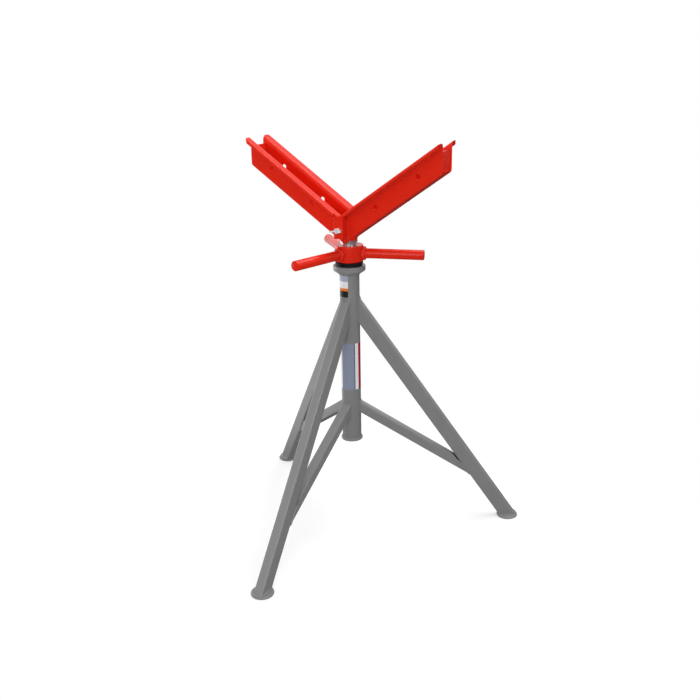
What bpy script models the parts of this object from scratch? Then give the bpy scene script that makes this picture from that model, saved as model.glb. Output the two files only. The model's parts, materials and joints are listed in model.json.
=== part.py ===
# Pipe jack stand: a welded tripod base, a screw jack turned by a nut with three bars, and a V head
# of two pressed channels that swivels on the screw.
# Lengths are metres. The floor is z = 0 and the screw's axis is the Z axis. +X runs along the span
# of the V head and +Y along the pipe that it carries. Everything is modelled at the lowest setting.

import math

import bmesh
import bpy
from mathutils import Vector

MM = 0.001
DEG = math.pi / 180

# Gaps between pieces, how far cutters run past what they cut, and how near points are merged
SEAT_GAP = 0.3 * MM
RUN_GAP = 0.4 * MM
OVERRUN = 8 * MM
MERGE = 0.005 * MM

# Centre tube, with the plate on its lower end and the collar on its upper end
TUBE_OD = 50.8 * MM
TUBE_WALL = 2.77 * MM
TUBE_BELOW_SCREW = 56.2 * MM
PLATE_OD = 58 * MM
PLATE_THICK = 6.4 * MM
PLATE_RIM_R = 2.8 * MM
COLLAR_TOP = 721.3 * MM
COLLAR_OD = 82.5 * MM
COLLAR_DEPTH = 12.8 * MM
COLLAR_UPPER_R = 0.8 * MM
COLLAR_LOWER_R = 3 * MM
NECK_DEPTH = 8.9 * MM
NECK_OD = 54.4 * MM

# Legs, feet and braces
LEG_COUNT = 3
FIRST_LEG_TURN = 26.25 * DEG
LEG_WIDTH = 25.4 * MM
LEG_DEPTH = 38.1 * MM
LEG_WALL = 2.1 * MM
LEG_CORNER_R = 4 * MM
LEG_APEX_DROP = 84.8 * MM
FOOT_CIRCLE_R = 430 * MM
FOOT_OD = 56.6 * MM
FOOT_THICK = 5.6 * MM
FOOT_RIM_R = 2.4 * MM
BRACE_SIDE = 25.4 * MM
BRACE_WALL = 2.1 * MM
BRACE_CORNER_R = 3 * MM
BRACE_APEX_RISE = 108.6 * MM
BRACE_MEET_Z = 158.5 * MM
BRACE_TOP_GAP = 3 * MM

# Key in the centre tube, and the screw that slides on it
KEY_WIDTH = 8 * MM
KEY_HEIGHT = 12 * MM
KEY_BELOW_TOP = 2 * MM
KEY_TURN = 90 * DEG
TRAVEL = 381 * MM
SCREW_OD = 44.45 * MM
SCREW_TAIL = 23 * MM
SCREW_CHAMFER = 1.5 * MM
KEYWAY_DEPTH = 4 * MM
STUB_OD = 32 * MM
STUB_LENGTH = 51 * MM
GROOVE_DEPTH = 3 * MM

# Thrust washer, seal ring and handle nut
WASHER_OD = 68 * MM
WASHER_THICK = 4.4 * MM
RING_OD = 71 * MM
RING_THICK = 4.8 * MM
RING_EDGE_R = 1.4 * MM
HUB_OD = 72.5 * MM
HUB_HEIGHT = 42.7 * MM
HUB_LOWER_R = 5 * MM
HUB_UPPER_R = 2 * MM
BAR_OD = 25.4 * MM
BAR_COUNT = 3
FIRST_BAR_TURN = 14.41 * DEG
BAR_REACH = 191.4 * MM
BAR_CHAMFER = 1 * MM
BAR_WELD = 5 * MM
BAR_HEIGHT_SHARE = 0.5

# V head: two arms pressed from sheet, mitred together over a socket, with a plate across each end
HEAD_RISE = 12.7 * MM
ARM_RISE = 6.9 * MM
ARM_SLOPE = 35 * DEG
ARM_REACH = 260 * MM
SHEET = 4 * MM
CHANNEL_WIDTH = 62 * MM
CHANNEL_DEPTH = 58.5 * MM
LIP_PAST_SPINE = 1.3 * MM
LIP_RETURN = 8 * MM
LIP_BEND_R = 11.7 * MM
RETURN_BEND_R = 4.8 * MM
WEB_BEND_R = 6 * MM
WALL_CORNER_R = 8 * MM
LIP_CORNER_R = 8 * MM
ARM_HOLE_D = 12.5 * MM
ARM_HOLE_FIRST = 108 * MM
ARM_HOLE_PITCH = 135.6 * MM
ARM_HOLE_COUNT = 2
SOCKET_OD = 44 * MM
SOCKET_LENGTH = 48 * MM
END_PLATE_RECESS = 4 * MM
END_PLATE_DROP = 20.2 * MM
END_PLATE_CORNER_R = 3 * MM

# Spine post in front of the arms' joint, and the wing bolt that it holds
SPINE_SIDE = 25.4 * MM
SPINE_WALL = 2.6 * MM
SPINE_CORNER_R = 1.8 * MM
SPINE_BELOW_BOLT = 21 * MM
BOLT_D = 8 * MM
BOLT_ABOVE_SHOULDER = 32.2 * MM
BOLT_POINT_D = 5.6 * MM
BOLT_POINT_LENGTH = 2.5 * MM
BOSS_D = 13.7 * MM
BOSS_HEIGHT = 10 * MM
BOSS_EDGE_R = 1.5 * MM
BOSS_RECESS_D = 6 * MM
BOSS_RECESS_DEPTH = 1.5 * MM
WING_TURN = 5 * DEG
WING_SPAN = 33 * MM
WING_HEIGHT = 22 * MM
WING_THICK = 3.6 * MM
WING_OUTLINE_SHARES = [(0.40, 0.10), (0.86, 0.36), (1.00, 0.72), (0.88, 1.00), (0.62, 0.88), (0.36, 0.36)]
WING_ROUND_SHARE = 0.16

# Smoothness of round shapes
ROUND_STEPS = 40
SMALL_STEPS = 24
ARC_STEPS = 3
SMOOTH_ANGLE = 35 * DEG

# Heights and radii that follow from the sizes above
TUBE_R = TUBE_OD / 2
BORE_R = TUBE_R - TUBE_WALL
SCREW_R = SCREW_OD / 2
NUT_BORE_R = SCREW_R + RUN_GAP
KEY_TOP = COLLAR_TOP - KEY_BELOW_TOP
KEY_BOTTOM = KEY_TOP - KEY_HEIGHT
KEYWAY_BOTTOM = KEY_BOTTOM - TRAVEL - RUN_GAP
SCREW_BOTTOM = KEYWAY_BOTTOM - SCREW_TAIL
TUBE_BOTTOM = SCREW_BOTTOM - TUBE_BELOW_SCREW
PLATE_BOTTOM = TUBE_BOTTOM - SEAT_GAP - PLATE_THICK
LEG_APEX_Z = COLLAR_TOP - LEG_APEX_DROP
LEG_SLOPE = math.atan2(LEG_APEX_Z - FOOT_THICK, FOOT_CIRCLE_R)
LEG_FACE_APEX_Z = LEG_APEX_Z - (LEG_DEPTH / 2 + SEAT_GAP) / math.cos(LEG_SLOPE)
BRACE_APEX_Z = PLATE_BOTTOM + BRACE_APEX_RISE
BRACE_MEET_R = (LEG_FACE_APEX_Z - BRACE_MEET_Z) / math.tan(LEG_SLOPE)
BRACE_SLOPE = math.atan2(BRACE_APEX_Z - BRACE_MEET_Z, BRACE_MEET_R)
WASHER_BOTTOM = COLLAR_TOP + SEAT_GAP
RING_BOTTOM = WASHER_BOTTOM + WASHER_THICK + SEAT_GAP
HUB_BOTTOM = RING_BOTTOM + RING_THICK + SEAT_GAP
HUB_TOP = HUB_BOTTOM + HUB_HEIGHT
SHOULDER_Z = HUB_TOP + HEAD_RISE
BOLT_Z = SHOULDER_Z + BOLT_ABOVE_SHOULDER
ARM_BOTTOM_Z = HUB_TOP + ARM_RISE
LIP_PLANE_Z = ARM_BOTTOM_Z + CHANNEL_DEPTH / math.cos(ARM_SLOPE)
GROOVE_R = STUB_OD / 2 - GROOVE_DEPTH
SPINE_FRONT_Y = -(CHANNEL_WIDTH / 2 + SEAT_GAP + SPINE_SIDE)
LIPS_WIDTH = 2 * (LIP_PAST_SPINE - SPINE_FRONT_Y)
SPINE_LEDGE_Y = SPINE_FRONT_Y + SPINE_WALL + SEAT_GAP

# Paint and metal finishes: colour, roughness, metallic
GREY_PAINT = ((0.19, 0.19, 0.195, 1), 0.42, 0)
RED_ENAMEL = ((0.62, 0.02, 0.012, 1), 0.3, 0)
BLACK_RUBBER = ((0.01, 0.01, 0.01, 1), 0.6, 0)
STEEL = ((0.55, 0.55, 0.56, 1), 0.35, 1)
ZINC = ((0.68, 0.69, 0.71, 1), 0.3, 1)


def start_scene():
    """Empty the scene and return the part's collection and the cutters' collection."""
    for old in list(bpy.data.objects):
        bpy.data.objects.remove(old, do_unlink=True)
    folders = []
    for name in ("pipe_jack_stand", "cutters"):
        folder = bpy.data.collections.new(name)
        bpy.context.scene.collection.children.link(folder)
        folders.append(folder)
    return folders


PART, CUTTERS = start_scene()


def rounded(corners, radii, closed=True):
    """Points of a flat outline with an arc in place of each corner that has a radius."""
    points = []
    last = len(corners) - 1
    for i, radius in enumerate(radii):
        here = Vector(corners[i])
        if radius == 0 or (not closed and i in (0, last)):
            points.append(here)
            continue
        back = Vector(corners[i - 1]) - here
        ahead = Vector(corners[(i + 1) % len(corners)]) - here
        half = back.angle(ahead) / 2
        room = min(back.length, ahead.length) / 2
        radius = min(radius, room * math.tan(half))
        back.normalize()
        ahead.normalize()
        centre = here + (back + ahead).normalized() * (radius / math.sin(half))
        arc_start = (here + back * (radius / math.tan(half)) - centre).normalized()
        arc_end = (here + ahead * (radius / math.tan(half)) - centre).normalized()
        for k in range(ARC_STEPS + 1):
            points.append(centre + radius * arc_start.slerp(arc_end, k / ARC_STEPS))
    return points


def box_outline(width, depth, radius):
    """A rectangle about the origin with round corners."""
    x, y = width / 2, depth / 2
    return rounded([(x, y), (-x, y), (-x, -y), (x, -y)], [radius] * 4)


def add_object(name, mesh, finish=None):
    """An object for a mesh: a piece of the stand with its own material, or a cutter without one."""
    obj = bpy.data.objects.new(name, mesh)
    if finish is None:
        CUTTERS.objects.link(obj)
        obj.hide_render = True
        obj.display_type = "WIRE"
        return obj
    PART.objects.link(obj)
    colour, roughness, metallic = finish
    material = bpy.data.materials.new(name)
    material.use_nodes = True
    shader = material.node_tree.nodes["Principled BSDF"]
    shader.inputs["Base Color"].default_value = colour
    shader.inputs["Roughness"].default_value = roughness
    shader.inputs["Metallic"].default_value = metallic
    mesh.materials.clear()
    mesh.materials.append(material)
    return obj


def evaluated(obj):
    """A new mesh of an object with its modifiers, near points merged and faces turned outward."""
    bpy.context.view_layer.update()
    shape = obj.evaluated_get(bpy.context.evaluated_depsgraph_get())
    mesh = bpy.data.meshes.new_from_object(shape)
    bm = bmesh.new()
    bm.from_mesh(mesh)
    bmesh.ops.remove_doubles(bm, verts=bm.verts, dist=MERGE)
    bmesh.ops.recalc_face_normals(bm, faces=bm.faces)
    bm.to_mesh(mesh)
    bm.free()
    return mesh


def frozen(obj, smooth=False):
    """Replace an object's data with its evaluated mesh and return the object."""
    mesh = evaluated(obj)
    if smooth:
        mesh.shade_smooth()
        mesh.set_sharp_from_angle(angle=SMOOTH_ANGLE)
    mesh.materials.clear()
    for material in obj.data.materials:
        mesh.materials.append(material)
    obj.modifiers.clear()
    obj.data = mesh
    return obj


def turned(name, profile, finish=None, steps=ROUND_STEPS):
    """A solid turned about Z from (radius, height) points that run down its outer side."""
    mesh = bpy.data.meshes.new(name)
    on_axis = profile[0][0] == 0 and profile[-1][0] == 0
    count = len(profile)
    edges = [(i, (i + 1) % count) for i in range(count - 1 if on_axis else count)]
    mesh.from_pydata([(r, 0, z) for r, z in profile], edges, [])
    obj = add_object(name, mesh, finish)
    screw = obj.modifiers.new("turn", "SCREW")
    screw.angle = 2 * math.pi
    screw.steps = steps
    screw.render_steps = steps
    screw.use_merge_vertices = True
    screw.merge_threshold = MERGE
    return frozen(obj, smooth=True)


def extruded(name, outlines, length, finish=None):
    """A flat outline, with any holes as further outlines, extruded to a length centred on z = 0."""
    curve = bpy.data.curves.new(name, "CURVE")
    curve.dimensions = "2D"
    curve.fill_mode = "BOTH"
    curve.extrude = length / 2
    for outline in outlines:
        spline = curve.splines.new("POLY")
        spline.points.add(len(outline) - 1)
        for point, (x, y) in zip(spline.points, outline):
            point.co = (x, y, 0, 1)
        spline.use_cyclic_u = True
    drawn = bpy.data.objects.new(name, curve)
    CUTTERS.objects.link(drawn)
    mesh = evaluated(drawn)
    bpy.data.objects.remove(drawn, do_unlink=True)
    return add_object(name, mesh, finish)


def cylinder(name, radius, low, high):
    """A round cutter about Z between two heights."""
    return turned(name, [(0, high), (radius, high), (radius, low), (0, low)])


def boolean(obj, cutter, operation="DIFFERENCE"):
    """Cut one object with another, join them, or keep what they share."""
    cut = obj.modifiers.new(cutter.name, "BOOLEAN")
    cut.operation = operation
    cut.solver = "EXACT"
    cut.object = cutter


def frame_at(name, turn):
    """An empty on the stand's axis, turned about Z, that carries what is arranged round it."""
    empty = bpy.data.objects.new(name, None)
    empty.rotation_euler = (0, 0, turn)
    CUTTERS.objects.link(empty)
    return empty


def put(obj, parent=None, location=(0, 0, 0), rotation=(0, 0, 0)):
    """Place an object under a parent."""
    obj.parent = parent
    obj.location = location
    obj.rotation_euler = rotation
    return obj


def plate_profile(diameter, low, thick, rim):
    """Half the section of a round plate with a rounded rim."""
    r = diameter / 2
    return rounded([(0, low + thick), (r, low + thick), (r, low), (0, low)], [0, rim, rim, 0])


def ring_profile(bore_r, outer_r, low, high, upper_r, lower_r):
    """The section of a ring whose outer edges are rounded."""
    return rounded([(outer_r, high), (outer_r, low), (bore_r, low), (bore_r, high)], [upper_r, lower_r, 0, 0])


def make_centre_tube():
    """The upright tube, with a slot near its top that holds the key."""
    tube = turned("centre_tube", [(TUBE_R, COLLAR_TOP), (TUBE_R, TUBE_BOTTOM), (BORE_R, TUBE_BOTTOM),
                                  (BORE_R, COLLAR_TOP)], GREY_PAINT)
    turned("tube_end_plate", plate_profile(PLATE_OD, PLATE_BOTTOM, PLATE_THICK, PLATE_RIM_R), GREY_PAINT)
    slot = extruded("key_slot", [box_outline(2 * TUBE_R, KEY_WIDTH + 2 * SEAT_GAP, 0)],
                    KEY_HEIGHT + 2 * SEAT_GAP)
    put(slot, frame_at("key_slot_frame", KEY_TURN), (TUBE_R, 0, (KEY_TOP + KEY_BOTTOM) / 2))
    boolean(tube, slot)


def make_collar():
    """The collar welded round the tube's top, with a coned underside."""
    outer = COLLAR_OD / 2
    low = COLLAR_TOP - COLLAR_DEPTH
    corners = [(outer, COLLAR_TOP), (outer, low), (NECK_OD / 2, low - NECK_DEPTH),
               (TUBE_R + SEAT_GAP, low - NECK_DEPTH), (TUBE_R + SEAT_GAP, COLLAR_TOP)]
    turned("top_collar", rounded(corners, [COLLAR_UPPER_R, COLLAR_LOWER_R, 0, 0, 0]), GREY_PAINT)


def make_key():
    """The key that stops the screw from turning, seated in the tube's slot."""
    inner = SCREW_R - KEYWAY_DEPTH + RUN_GAP
    outer = TUBE_R - RUN_GAP
    key = extruded("guide_key", [box_outline(outer - inner, KEY_WIDTH, 0)], KEY_HEIGHT, STEEL)
    put(key, frame_at("key_frame", KEY_TURN), ((outer + inner) / 2, 0, (KEY_TOP + KEY_BOTTOM) / 2))


def tube_shell(name, width, depth, wall, corner_r, length, finish):
    """A rectangular tube along Z, open at both ends."""
    inner_r = max(corner_r - wall, 0)
    outlines = [box_outline(width, depth, corner_r), box_outline(width - 2 * wall, depth - 2 * wall, inner_r)]
    return extruded(name, outlines, length, finish)


def make_leg(number, frame, tube_cutter):
    """One leg: a tube coped to the centre tube and cut level on its foot."""
    rise = LEG_APEX_Z - FOOT_THICK
    length = math.hypot(rise, FOOT_CIRCLE_R) + 2 * LEG_DEPTH
    leg = tube_shell(f"leg_{number}", LEG_DEPTH, LEG_WIDTH, LEG_WALL, LEG_CORNER_R, length, GREY_PAINT)
    middle = (FOOT_CIRCLE_R / 2, 0, FOOT_THICK + rise / 2)
    put(leg, frame, middle, (0, math.atan2(FOOT_CIRCLE_R, -rise), 0))
    far = FOOT_CIRCLE_R + LEG_DEPTH + OVERRUN
    high = LEG_APEX_Z + LEG_DEPTH + OVERRUN
    side = [(0, FOOT_THICK + SEAT_GAP), (far, FOOT_THICK + SEAT_GAP), (far, high), (0, high)]
    trim = extruded(f"leg_trim_{number}", [side], LEG_WIDTH + 2 * OVERRUN)
    put(trim, frame, (0, 0, 0), (math.pi / 2, 0, 0))
    boolean(leg, trim, "INTERSECT")
    boolean(leg, tube_cutter)


def make_brace(number, frame, tube_cutter):
    """One brace: a square tube coped to the centre tube, its mitre a little open at the leg's top side."""
    length = BRACE_MEET_R / math.cos(BRACE_SLOPE) + 4 * BRACE_SIDE
    brace = tube_shell(f"brace_{number}", BRACE_SIDE, BRACE_SIDE, BRACE_WALL, BRACE_CORNER_R, length,
                       GREY_PAINT)
    middle = (BRACE_MEET_R / 2, 0, (BRACE_APEX_Z + BRACE_MEET_Z) / 2)
    put(brace, frame, middle, (0, math.pi / 2 + BRACE_SLOPE, 0))
    mitre = BRACE_SIDE / math.sin(LEG_SLOPE - BRACE_SLOPE)
    slope = LEG_SLOPE - math.atan2(BRACE_TOP_GAP, mitre)
    toe_r = BRACE_MEET_R + mitre / 2 * math.cos(LEG_SLOPE)
    toe_z = BRACE_MEET_Z - mitre / 2 * math.sin(LEG_SLOPE)
    side = [(0, 0), (toe_r + toe_z / math.tan(slope), 0), (0, toe_z + toe_r * math.tan(slope))]
    trim = extruded(f"brace_trim_{number}", [side], BRACE_SIDE + 2 * OVERRUN)
    put(trim, frame, (0, 0, 0), (math.pi / 2, 0, 0))
    boolean(brace, trim, "INTERSECT")
    boolean(brace, tube_cutter)


def make_tripod():
    """Legs, braces and feet, spaced evenly round the centre tube."""
    tube_cutter = cylinder("tube_cutter", TUBE_R + SEAT_GAP, PLATE_BOTTOM, COLLAR_TOP)
    for k in range(LEG_COUNT):
        number = k + 1
        frame = frame_at(f"leg_frame_{number}", FIRST_LEG_TURN + k * 2 * math.pi / LEG_COUNT)
        make_leg(number, frame, tube_cutter)
        make_brace(number, frame, tube_cutter)
        foot = turned(f"foot_{number}", plate_profile(FOOT_OD, 0, FOOT_THICK, FOOT_RIM_R), GREY_PAINT)
        put(foot, frame, (FOOT_CIRCLE_R, 0, 0))


def make_thrust_rings():
    """The steel washer on the collar and the seal ring that turns on it under the nut."""
    sizes = [("thrust_washer", WASHER_OD / 2, WASHER_BOTTOM, WASHER_THICK),
             ("seal_ring", RING_OD / 2, RING_BOTTOM, RING_THICK)]
    for name, outer, low, thick in sizes:
        section = ring_profile(NUT_BORE_R, outer, low, low + thick, RING_EDGE_R, RING_EDGE_R)
        turned(name, section, BLACK_RUBBER)


def bar_profile():
    """Half the section of a handle bar along Z, flared at its root like the weld round it."""
    r = BAR_OD / 2
    hub_r = HUB_OD / 2
    points = [(0, BAR_REACH), (r - BAR_CHAMFER, BAR_REACH), (r, BAR_REACH - BAR_CHAMFER)]
    for k in range(ARC_STEPS + 1):
        angle = k / ARC_STEPS * math.pi / 2
        points.append((r + BAR_WELD * (1 - math.cos(angle)), hub_r + BAR_WELD * (1 - math.sin(angle))))
    root = hub_r - BAR_WELD
    points += [(r + BAR_WELD, root), (0, root)]
    return points


def make_handle_nut():
    """The nut's hub and its three bars, each coped to the hub and welded on."""
    hub_r = HUB_OD / 2
    hub_section = ring_profile(NUT_BORE_R, hub_r, HUB_BOTTOM, HUB_TOP, HUB_UPPER_R, HUB_LOWER_R)
    turned("handle_hub", hub_section, RED_ENAMEL)
    hub_cutter = cylinder("hub_cutter", hub_r + SEAT_GAP, HUB_BOTTOM - OVERRUN, HUB_TOP + OVERRUN)
    for k in range(BAR_COUNT):
        bar = turned(f"handle_bar_{k + 1}", bar_profile(), RED_ENAMEL, SMALL_STEPS)
        frame = frame_at(f"bar_frame_{k + 1}", FIRST_BAR_TURN + k * 2 * math.pi / BAR_COUNT)
        put(bar, frame, (0, 0, HUB_BOTTOM + HUB_HEIGHT * BAR_HEIGHT_SHARE), (0, math.pi / 2, 0))
        boolean(bar, hub_cutter)


def make_screw():
    """The lifting screw: a keyway down its length, and a grooved stub on top for the head."""
    stub_r = STUB_OD / 2
    stub_top = SHOULDER_Z + STUB_LENGTH
    half_groove = BOLT_D / 2 + 2 * RUN_GAP
    profile = [(0, stub_top), (stub_r - SCREW_CHAMFER, stub_top), (stub_r, stub_top - SCREW_CHAMFER),
               (stub_r, BOLT_Z + half_groove), (GROOVE_R, BOLT_Z + half_groove),
               (GROOVE_R, BOLT_Z - half_groove), (stub_r, BOLT_Z - half_groove), (stub_r, SHOULDER_Z),
               (SCREW_R - SCREW_CHAMFER, SHOULDER_Z), (SCREW_R, SHOULDER_Z - SCREW_CHAMFER),
               (SCREW_R, SCREW_BOTTOM + SCREW_CHAMFER), (SCREW_R - SCREW_CHAMFER, SCREW_BOTTOM),
               (0, SCREW_BOTTOM)]
    screw = turned("lifting_screw", profile, STEEL)
    way_length = SHOULDER_Z + OVERRUN - KEYWAY_BOTTOM
    inner = SCREW_R - KEYWAY_DEPTH
    outer = SCREW_R + OVERRUN
    way = extruded("keyway", [box_outline(outer - inner, KEY_WIDTH + 2 * RUN_GAP, 0)], way_length)
    put(way, frame_at("keyway_frame", KEY_TURN), ((outer + inner) / 2, 0, KEYWAY_BOTTOM + way_length / 2))
    boolean(screw, way)


def arm_sheet():
    """The pressed section as an open surface along +X, lips' top face at z = 0, then thickened."""
    lip_y = (LIPS_WIDTH - SHEET) / 2
    wall_y = (CHANNEL_WIDTH - SHEET) / 2
    top = -SHEET / 2
    floor = SHEET / 2 - CHANNEL_DEPTH
    corners = [(-lip_y, -LIP_RETURN), (-lip_y, top), (-wall_y, top), (-wall_y, floor),
               (wall_y, floor), (wall_y, top), (lip_y, top), (lip_y, -LIP_RETURN)]
    bends = [RETURN_BEND_R - SHEET / 2, LIP_BEND_R - SHEET / 2, WEB_BEND_R - SHEET / 2]
    section = rounded(corners, [0] + bends + bends[::-1] + [0], closed=False)
    start = -CHANNEL_DEPTH * math.tan(ARM_SLOPE) - OVERRUN
    end = ARM_REACH / math.cos(ARM_SLOPE) + OVERRUN
    bm = bmesh.new()
    verts = [bm.verts.new((start, y, z)) for y, z in section]
    edges = [bm.edges.new(pair) for pair in zip(verts, verts[1:])]
    swept = bmesh.ops.extrude_edge_only(bm, edges=edges)["geom"]
    moved = [item for item in swept if isinstance(item, bmesh.types.BMVert)]
    bmesh.ops.translate(bm, verts=moved, vec=(end - start, 0, 0))
    mesh = bpy.data.meshes.new("arm_sheet")
    bm.to_mesh(mesh)
    bm.free()
    sheet = add_object("arm_sheet", mesh)
    thicken = sheet.modifiers.new("thickness", "SOLIDIFY")
    thicken.thickness = SHEET
    thicken.offset = 0
    thicken.use_even_offset = True
    put(sheet, None, (0, 0, LIP_PLANE_Z), (0, -ARM_SLOPE, 0))
    return sheet


def arm_cutters():
    """What shapes an arm's blank: its side view, its plan, its cross holes and the socket's hole."""
    tilt = math.tan(ARM_SLOPE)
    inner = SEAT_GAP / 2
    under = ARM_BOTTOM_Z - SEAT_GAP
    high = LIP_PLANE_Z + ARM_REACH * tilt + OVERRUN
    side = rounded([(inner, under), (ARM_REACH, under + ARM_REACH * tilt), (ARM_REACH, high), (inner, high)],
                   [0, WALL_CORNER_R, 0, 0])
    side_view = extruded("arm_side_view", [side], LIPS_WIDTH + 2 * OVERRUN)
    put(side_view, None, (0, 0, 0), (math.pi / 2, 0, 0))

    start = -CHANNEL_DEPTH - OVERRUN
    end = ARM_REACH / math.cos(ARM_SLOPE) + SEAT_GAP
    half = LIPS_WIDTH / 2 + SEAT_GAP
    plan = rounded([(start, -half), (end, -half), (end, half), (start, half)],
                   [0, LIP_CORNER_R, LIP_CORNER_R, 0])
    plan_view = extruded("arm_plan", [plan], 2 * (CHANNEL_DEPTH + OVERRUN))
    put(plan_view, None, (0, 0, LIP_PLANE_Z), (0, -ARM_SLOPE, 0))

    holes = []
    drop = CHANNEL_DEPTH / 2
    for k in range(ARM_HOLE_COUNT):
        along = ARM_HOLE_FIRST + k * ARM_HOLE_PITCH - drop * math.tan(ARM_SLOPE)
        hole = cylinder(f"arm_hole_{k + 1}", ARM_HOLE_D / 2, -CHANNEL_WIDTH, CHANNEL_WIDTH)
        x = along * math.cos(ARM_SLOPE) + drop * math.sin(ARM_SLOPE)
        z = LIP_PLANE_Z + along * math.sin(ARM_SLOPE) - drop * math.cos(ARM_SLOPE)
        holes.append(put(hole, None, (x, 0, z), (math.pi / 2, 0, 0)))
    socket_hole = cylinder("socket_hole", SCREW_R + RUN_GAP, HUB_TOP, SHOULDER_Z + SOCKET_LENGTH)
    return side_view, plan_view, holes, socket_hole


def post_way():
    """What cuts away the near edges of the lips, where the front wall of the post takes their place."""
    front = -LIPS_WIDTH / 2 - OVERRUN
    back = SPINE_LEDGE_Y + SEAT_GAP
    way = extruded("post_way", [box_outline(SPINE_SIDE + 2 * SEAT_GAP, back - front, 0)], 4 * SPINE_SIDE)
    return put(way, None, (0, (front + back) / 2, LIP_PLANE_Z))


def make_end_plate(name, frame):
    """The plate welded across a channel near its open end, its lower corners clear of the bends."""
    half = CHANNEL_WIDTH / 2 - SHEET - SEAT_GAP
    outer_x = ARM_REACH - END_PLATE_RECESS
    low = ARM_BOTTOM_Z + outer_x * math.tan(ARM_SLOPE) + SHEET / math.cos(ARM_SLOPE) + SEAT_GAP
    high = LIP_PLANE_Z + ARM_REACH * math.tan(ARM_SLOPE) - END_PLATE_DROP
    outline = rounded([(half, low), (half, high), (-half, high), (-half, low)],
                      [END_PLATE_CORNER_R, 0, 0, END_PLATE_CORNER_R])
    plate = extruded(name, [outline], SHEET, RED_ENAMEL)
    put(plate, frame, (outer_x - SHEET / 2, 0, 0), (math.pi / 2, 0, math.pi / 2))


def make_arms(bolt_way):
    """Both arms from one blank, the left one turned half round, each with its end plate."""
    blank = arm_sheet()
    side_view, plan_view, holes, socket_hole = arm_cutters()
    frozen(blank)
    boolean(blank, side_view, "INTERSECT")
    boolean(blank, plan_view, "INTERSECT")
    for cutter in holes + [socket_hole]:
        boolean(blank, cutter)
    frozen(blank)
    way = post_way()
    for side, turn in (("right", 0), ("left", math.pi)):
        frame = frame_at(f"{side}_arm_frame", turn)
        arm = add_object(f"{side}_arm", blank.data.copy(), RED_ENAMEL)
        put(arm, frame, (0, 0, LIP_PLANE_Z), (0, -ARM_SLOPE, 0))
        boolean(arm, bolt_way)
        boolean(arm, way)
        make_end_plate(f"{side}_end_plate", frame)
    bpy.data.objects.remove(blank, do_unlink=True)


def make_socket(bolt_way):
    """The socket under the arms' joint that turns on the screw's stub."""
    low = SHOULDER_Z + SEAT_GAP
    section = ring_profile(STUB_OD / 2 + RUN_GAP, SOCKET_OD / 2, low, low + SOCKET_LENGTH, 0, 0)
    socket = turned("head_socket", section, RED_ENAMEL)
    boolean(socket, bolt_way)


def spine_notch(name, depth, front_y, back_y):
    """A V cutter parallel to the lips, a depth below their top faces, between two places along Y."""
    valley = LIP_PLANE_Z - depth / math.cos(ARM_SLOPE)
    rim = valley + SPINE_SIDE * math.tan(ARM_SLOPE)
    top = LIP_PLANE_Z + SPINE_SIDE + OVERRUN
    outline = [(0, valley), (SPINE_SIDE, rim), (SPINE_SIDE, top), (-SPINE_SIDE, top), (-SPINE_SIDE, rim)]
    notch = extruded(name, [outline], back_y - front_y)
    return put(notch, None, (0, (front_y + back_y) / 2, 0), (math.pi / 2, 0, 0))


def make_spine(bolt_way):
    """The square post before the arms' joint: its front is level with the lips, the rest lower."""
    low = BOLT_Z - SPINE_BELOW_BOLT
    high = LIP_PLANE_Z + SPINE_SIDE
    spine = tube_shell("spine_post", SPINE_SIDE, SPINE_SIDE, SPINE_WALL, SPINE_CORNER_R, high - low,
                       RED_ENAMEL)
    put(spine, None, (0, SPINE_FRONT_Y + SPINE_SIDE / 2, (low + high) / 2))
    bend_y = SHEET - CHANNEL_WIDTH / 2 - LIP_BEND_R - SEAT_GAP
    level_with_lips = spine_notch("front_notch", 0, SPINE_FRONT_Y - OVERRUN, OVERRUN)
    under_lips = spine_notch("lip_notch", SHEET + SEAT_GAP, SPINE_LEDGE_Y, OVERRUN)
    under_bends = spine_notch("bend_notch", max(LIP_RETURN, LIP_BEND_R) + SEAT_GAP, bend_y, 0)
    for cutter in (level_with_lips, under_lips, under_bends, bolt_way):
        boolean(spine, cutter)


def wing_outline():
    """Both wings of the bolt from the front edge of its seat, as one closed outline."""
    half = [(x * WING_SPAN / 2, y * WING_HEIGHT) for x, y in WING_OUTLINE_SHARES]
    corners = half + [(-x, y) for x, y in reversed(half)]
    return rounded(corners, [WING_ROUND_SHARE * WING_HEIGHT] * len(corners))


def make_wing_bolt():
    """The wing bolt through the post and socket, its point in the stub's groove."""
    seat = SPINE_FRONT_Y - SEAT_GAP
    tip = -(GROOVE_R + RUN_GAP)
    r, point_r, boss_r = BOLT_D / 2, BOLT_POINT_D / 2, BOSS_D / 2
    front = seat - BOSS_HEIGHT
    recess_r = BOSS_RECESS_D / 2
    corners = [(0, -front - BOSS_RECESS_DEPTH), (recess_r, -front - BOSS_RECESS_DEPTH), (recess_r, -front),
               (boss_r, -front), (boss_r, -seat), (r, -seat), (r, BOLT_POINT_LENGTH - tip),
               (point_r, BOLT_POINT_LENGTH - tip), (point_r, -tip), (0, -tip)]
    profile = rounded(corners, [0, 0, 0, BOSS_EDGE_R, 0, 0, 0, 0, 0, 0])
    bolt = turned("wing_bolt", profile, ZINC, SMALL_STEPS)
    put(bolt, None, (0, 0, BOLT_Z), (math.pi / 2, 0, 0))
    wings = extruded("wings", [wing_outline()], WING_THICK)
    put(wings, None, (0, seat, BOLT_Z), (0, WING_TURN, math.pi))
    boolean(bolt, wings, "UNION")


def make_head():
    """The V head and its lock."""
    way = cylinder("bolt_way", BOLT_D / 2 + RUN_GAP, GROOVE_R, -SPINE_FRONT_Y + OVERRUN)
    put(way, None, (0, 0, BOLT_Z), (math.pi / 2, 0, 0))
    make_arms(way)
    make_socket(way)
    make_spine(way)
    make_wing_bolt()


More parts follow.
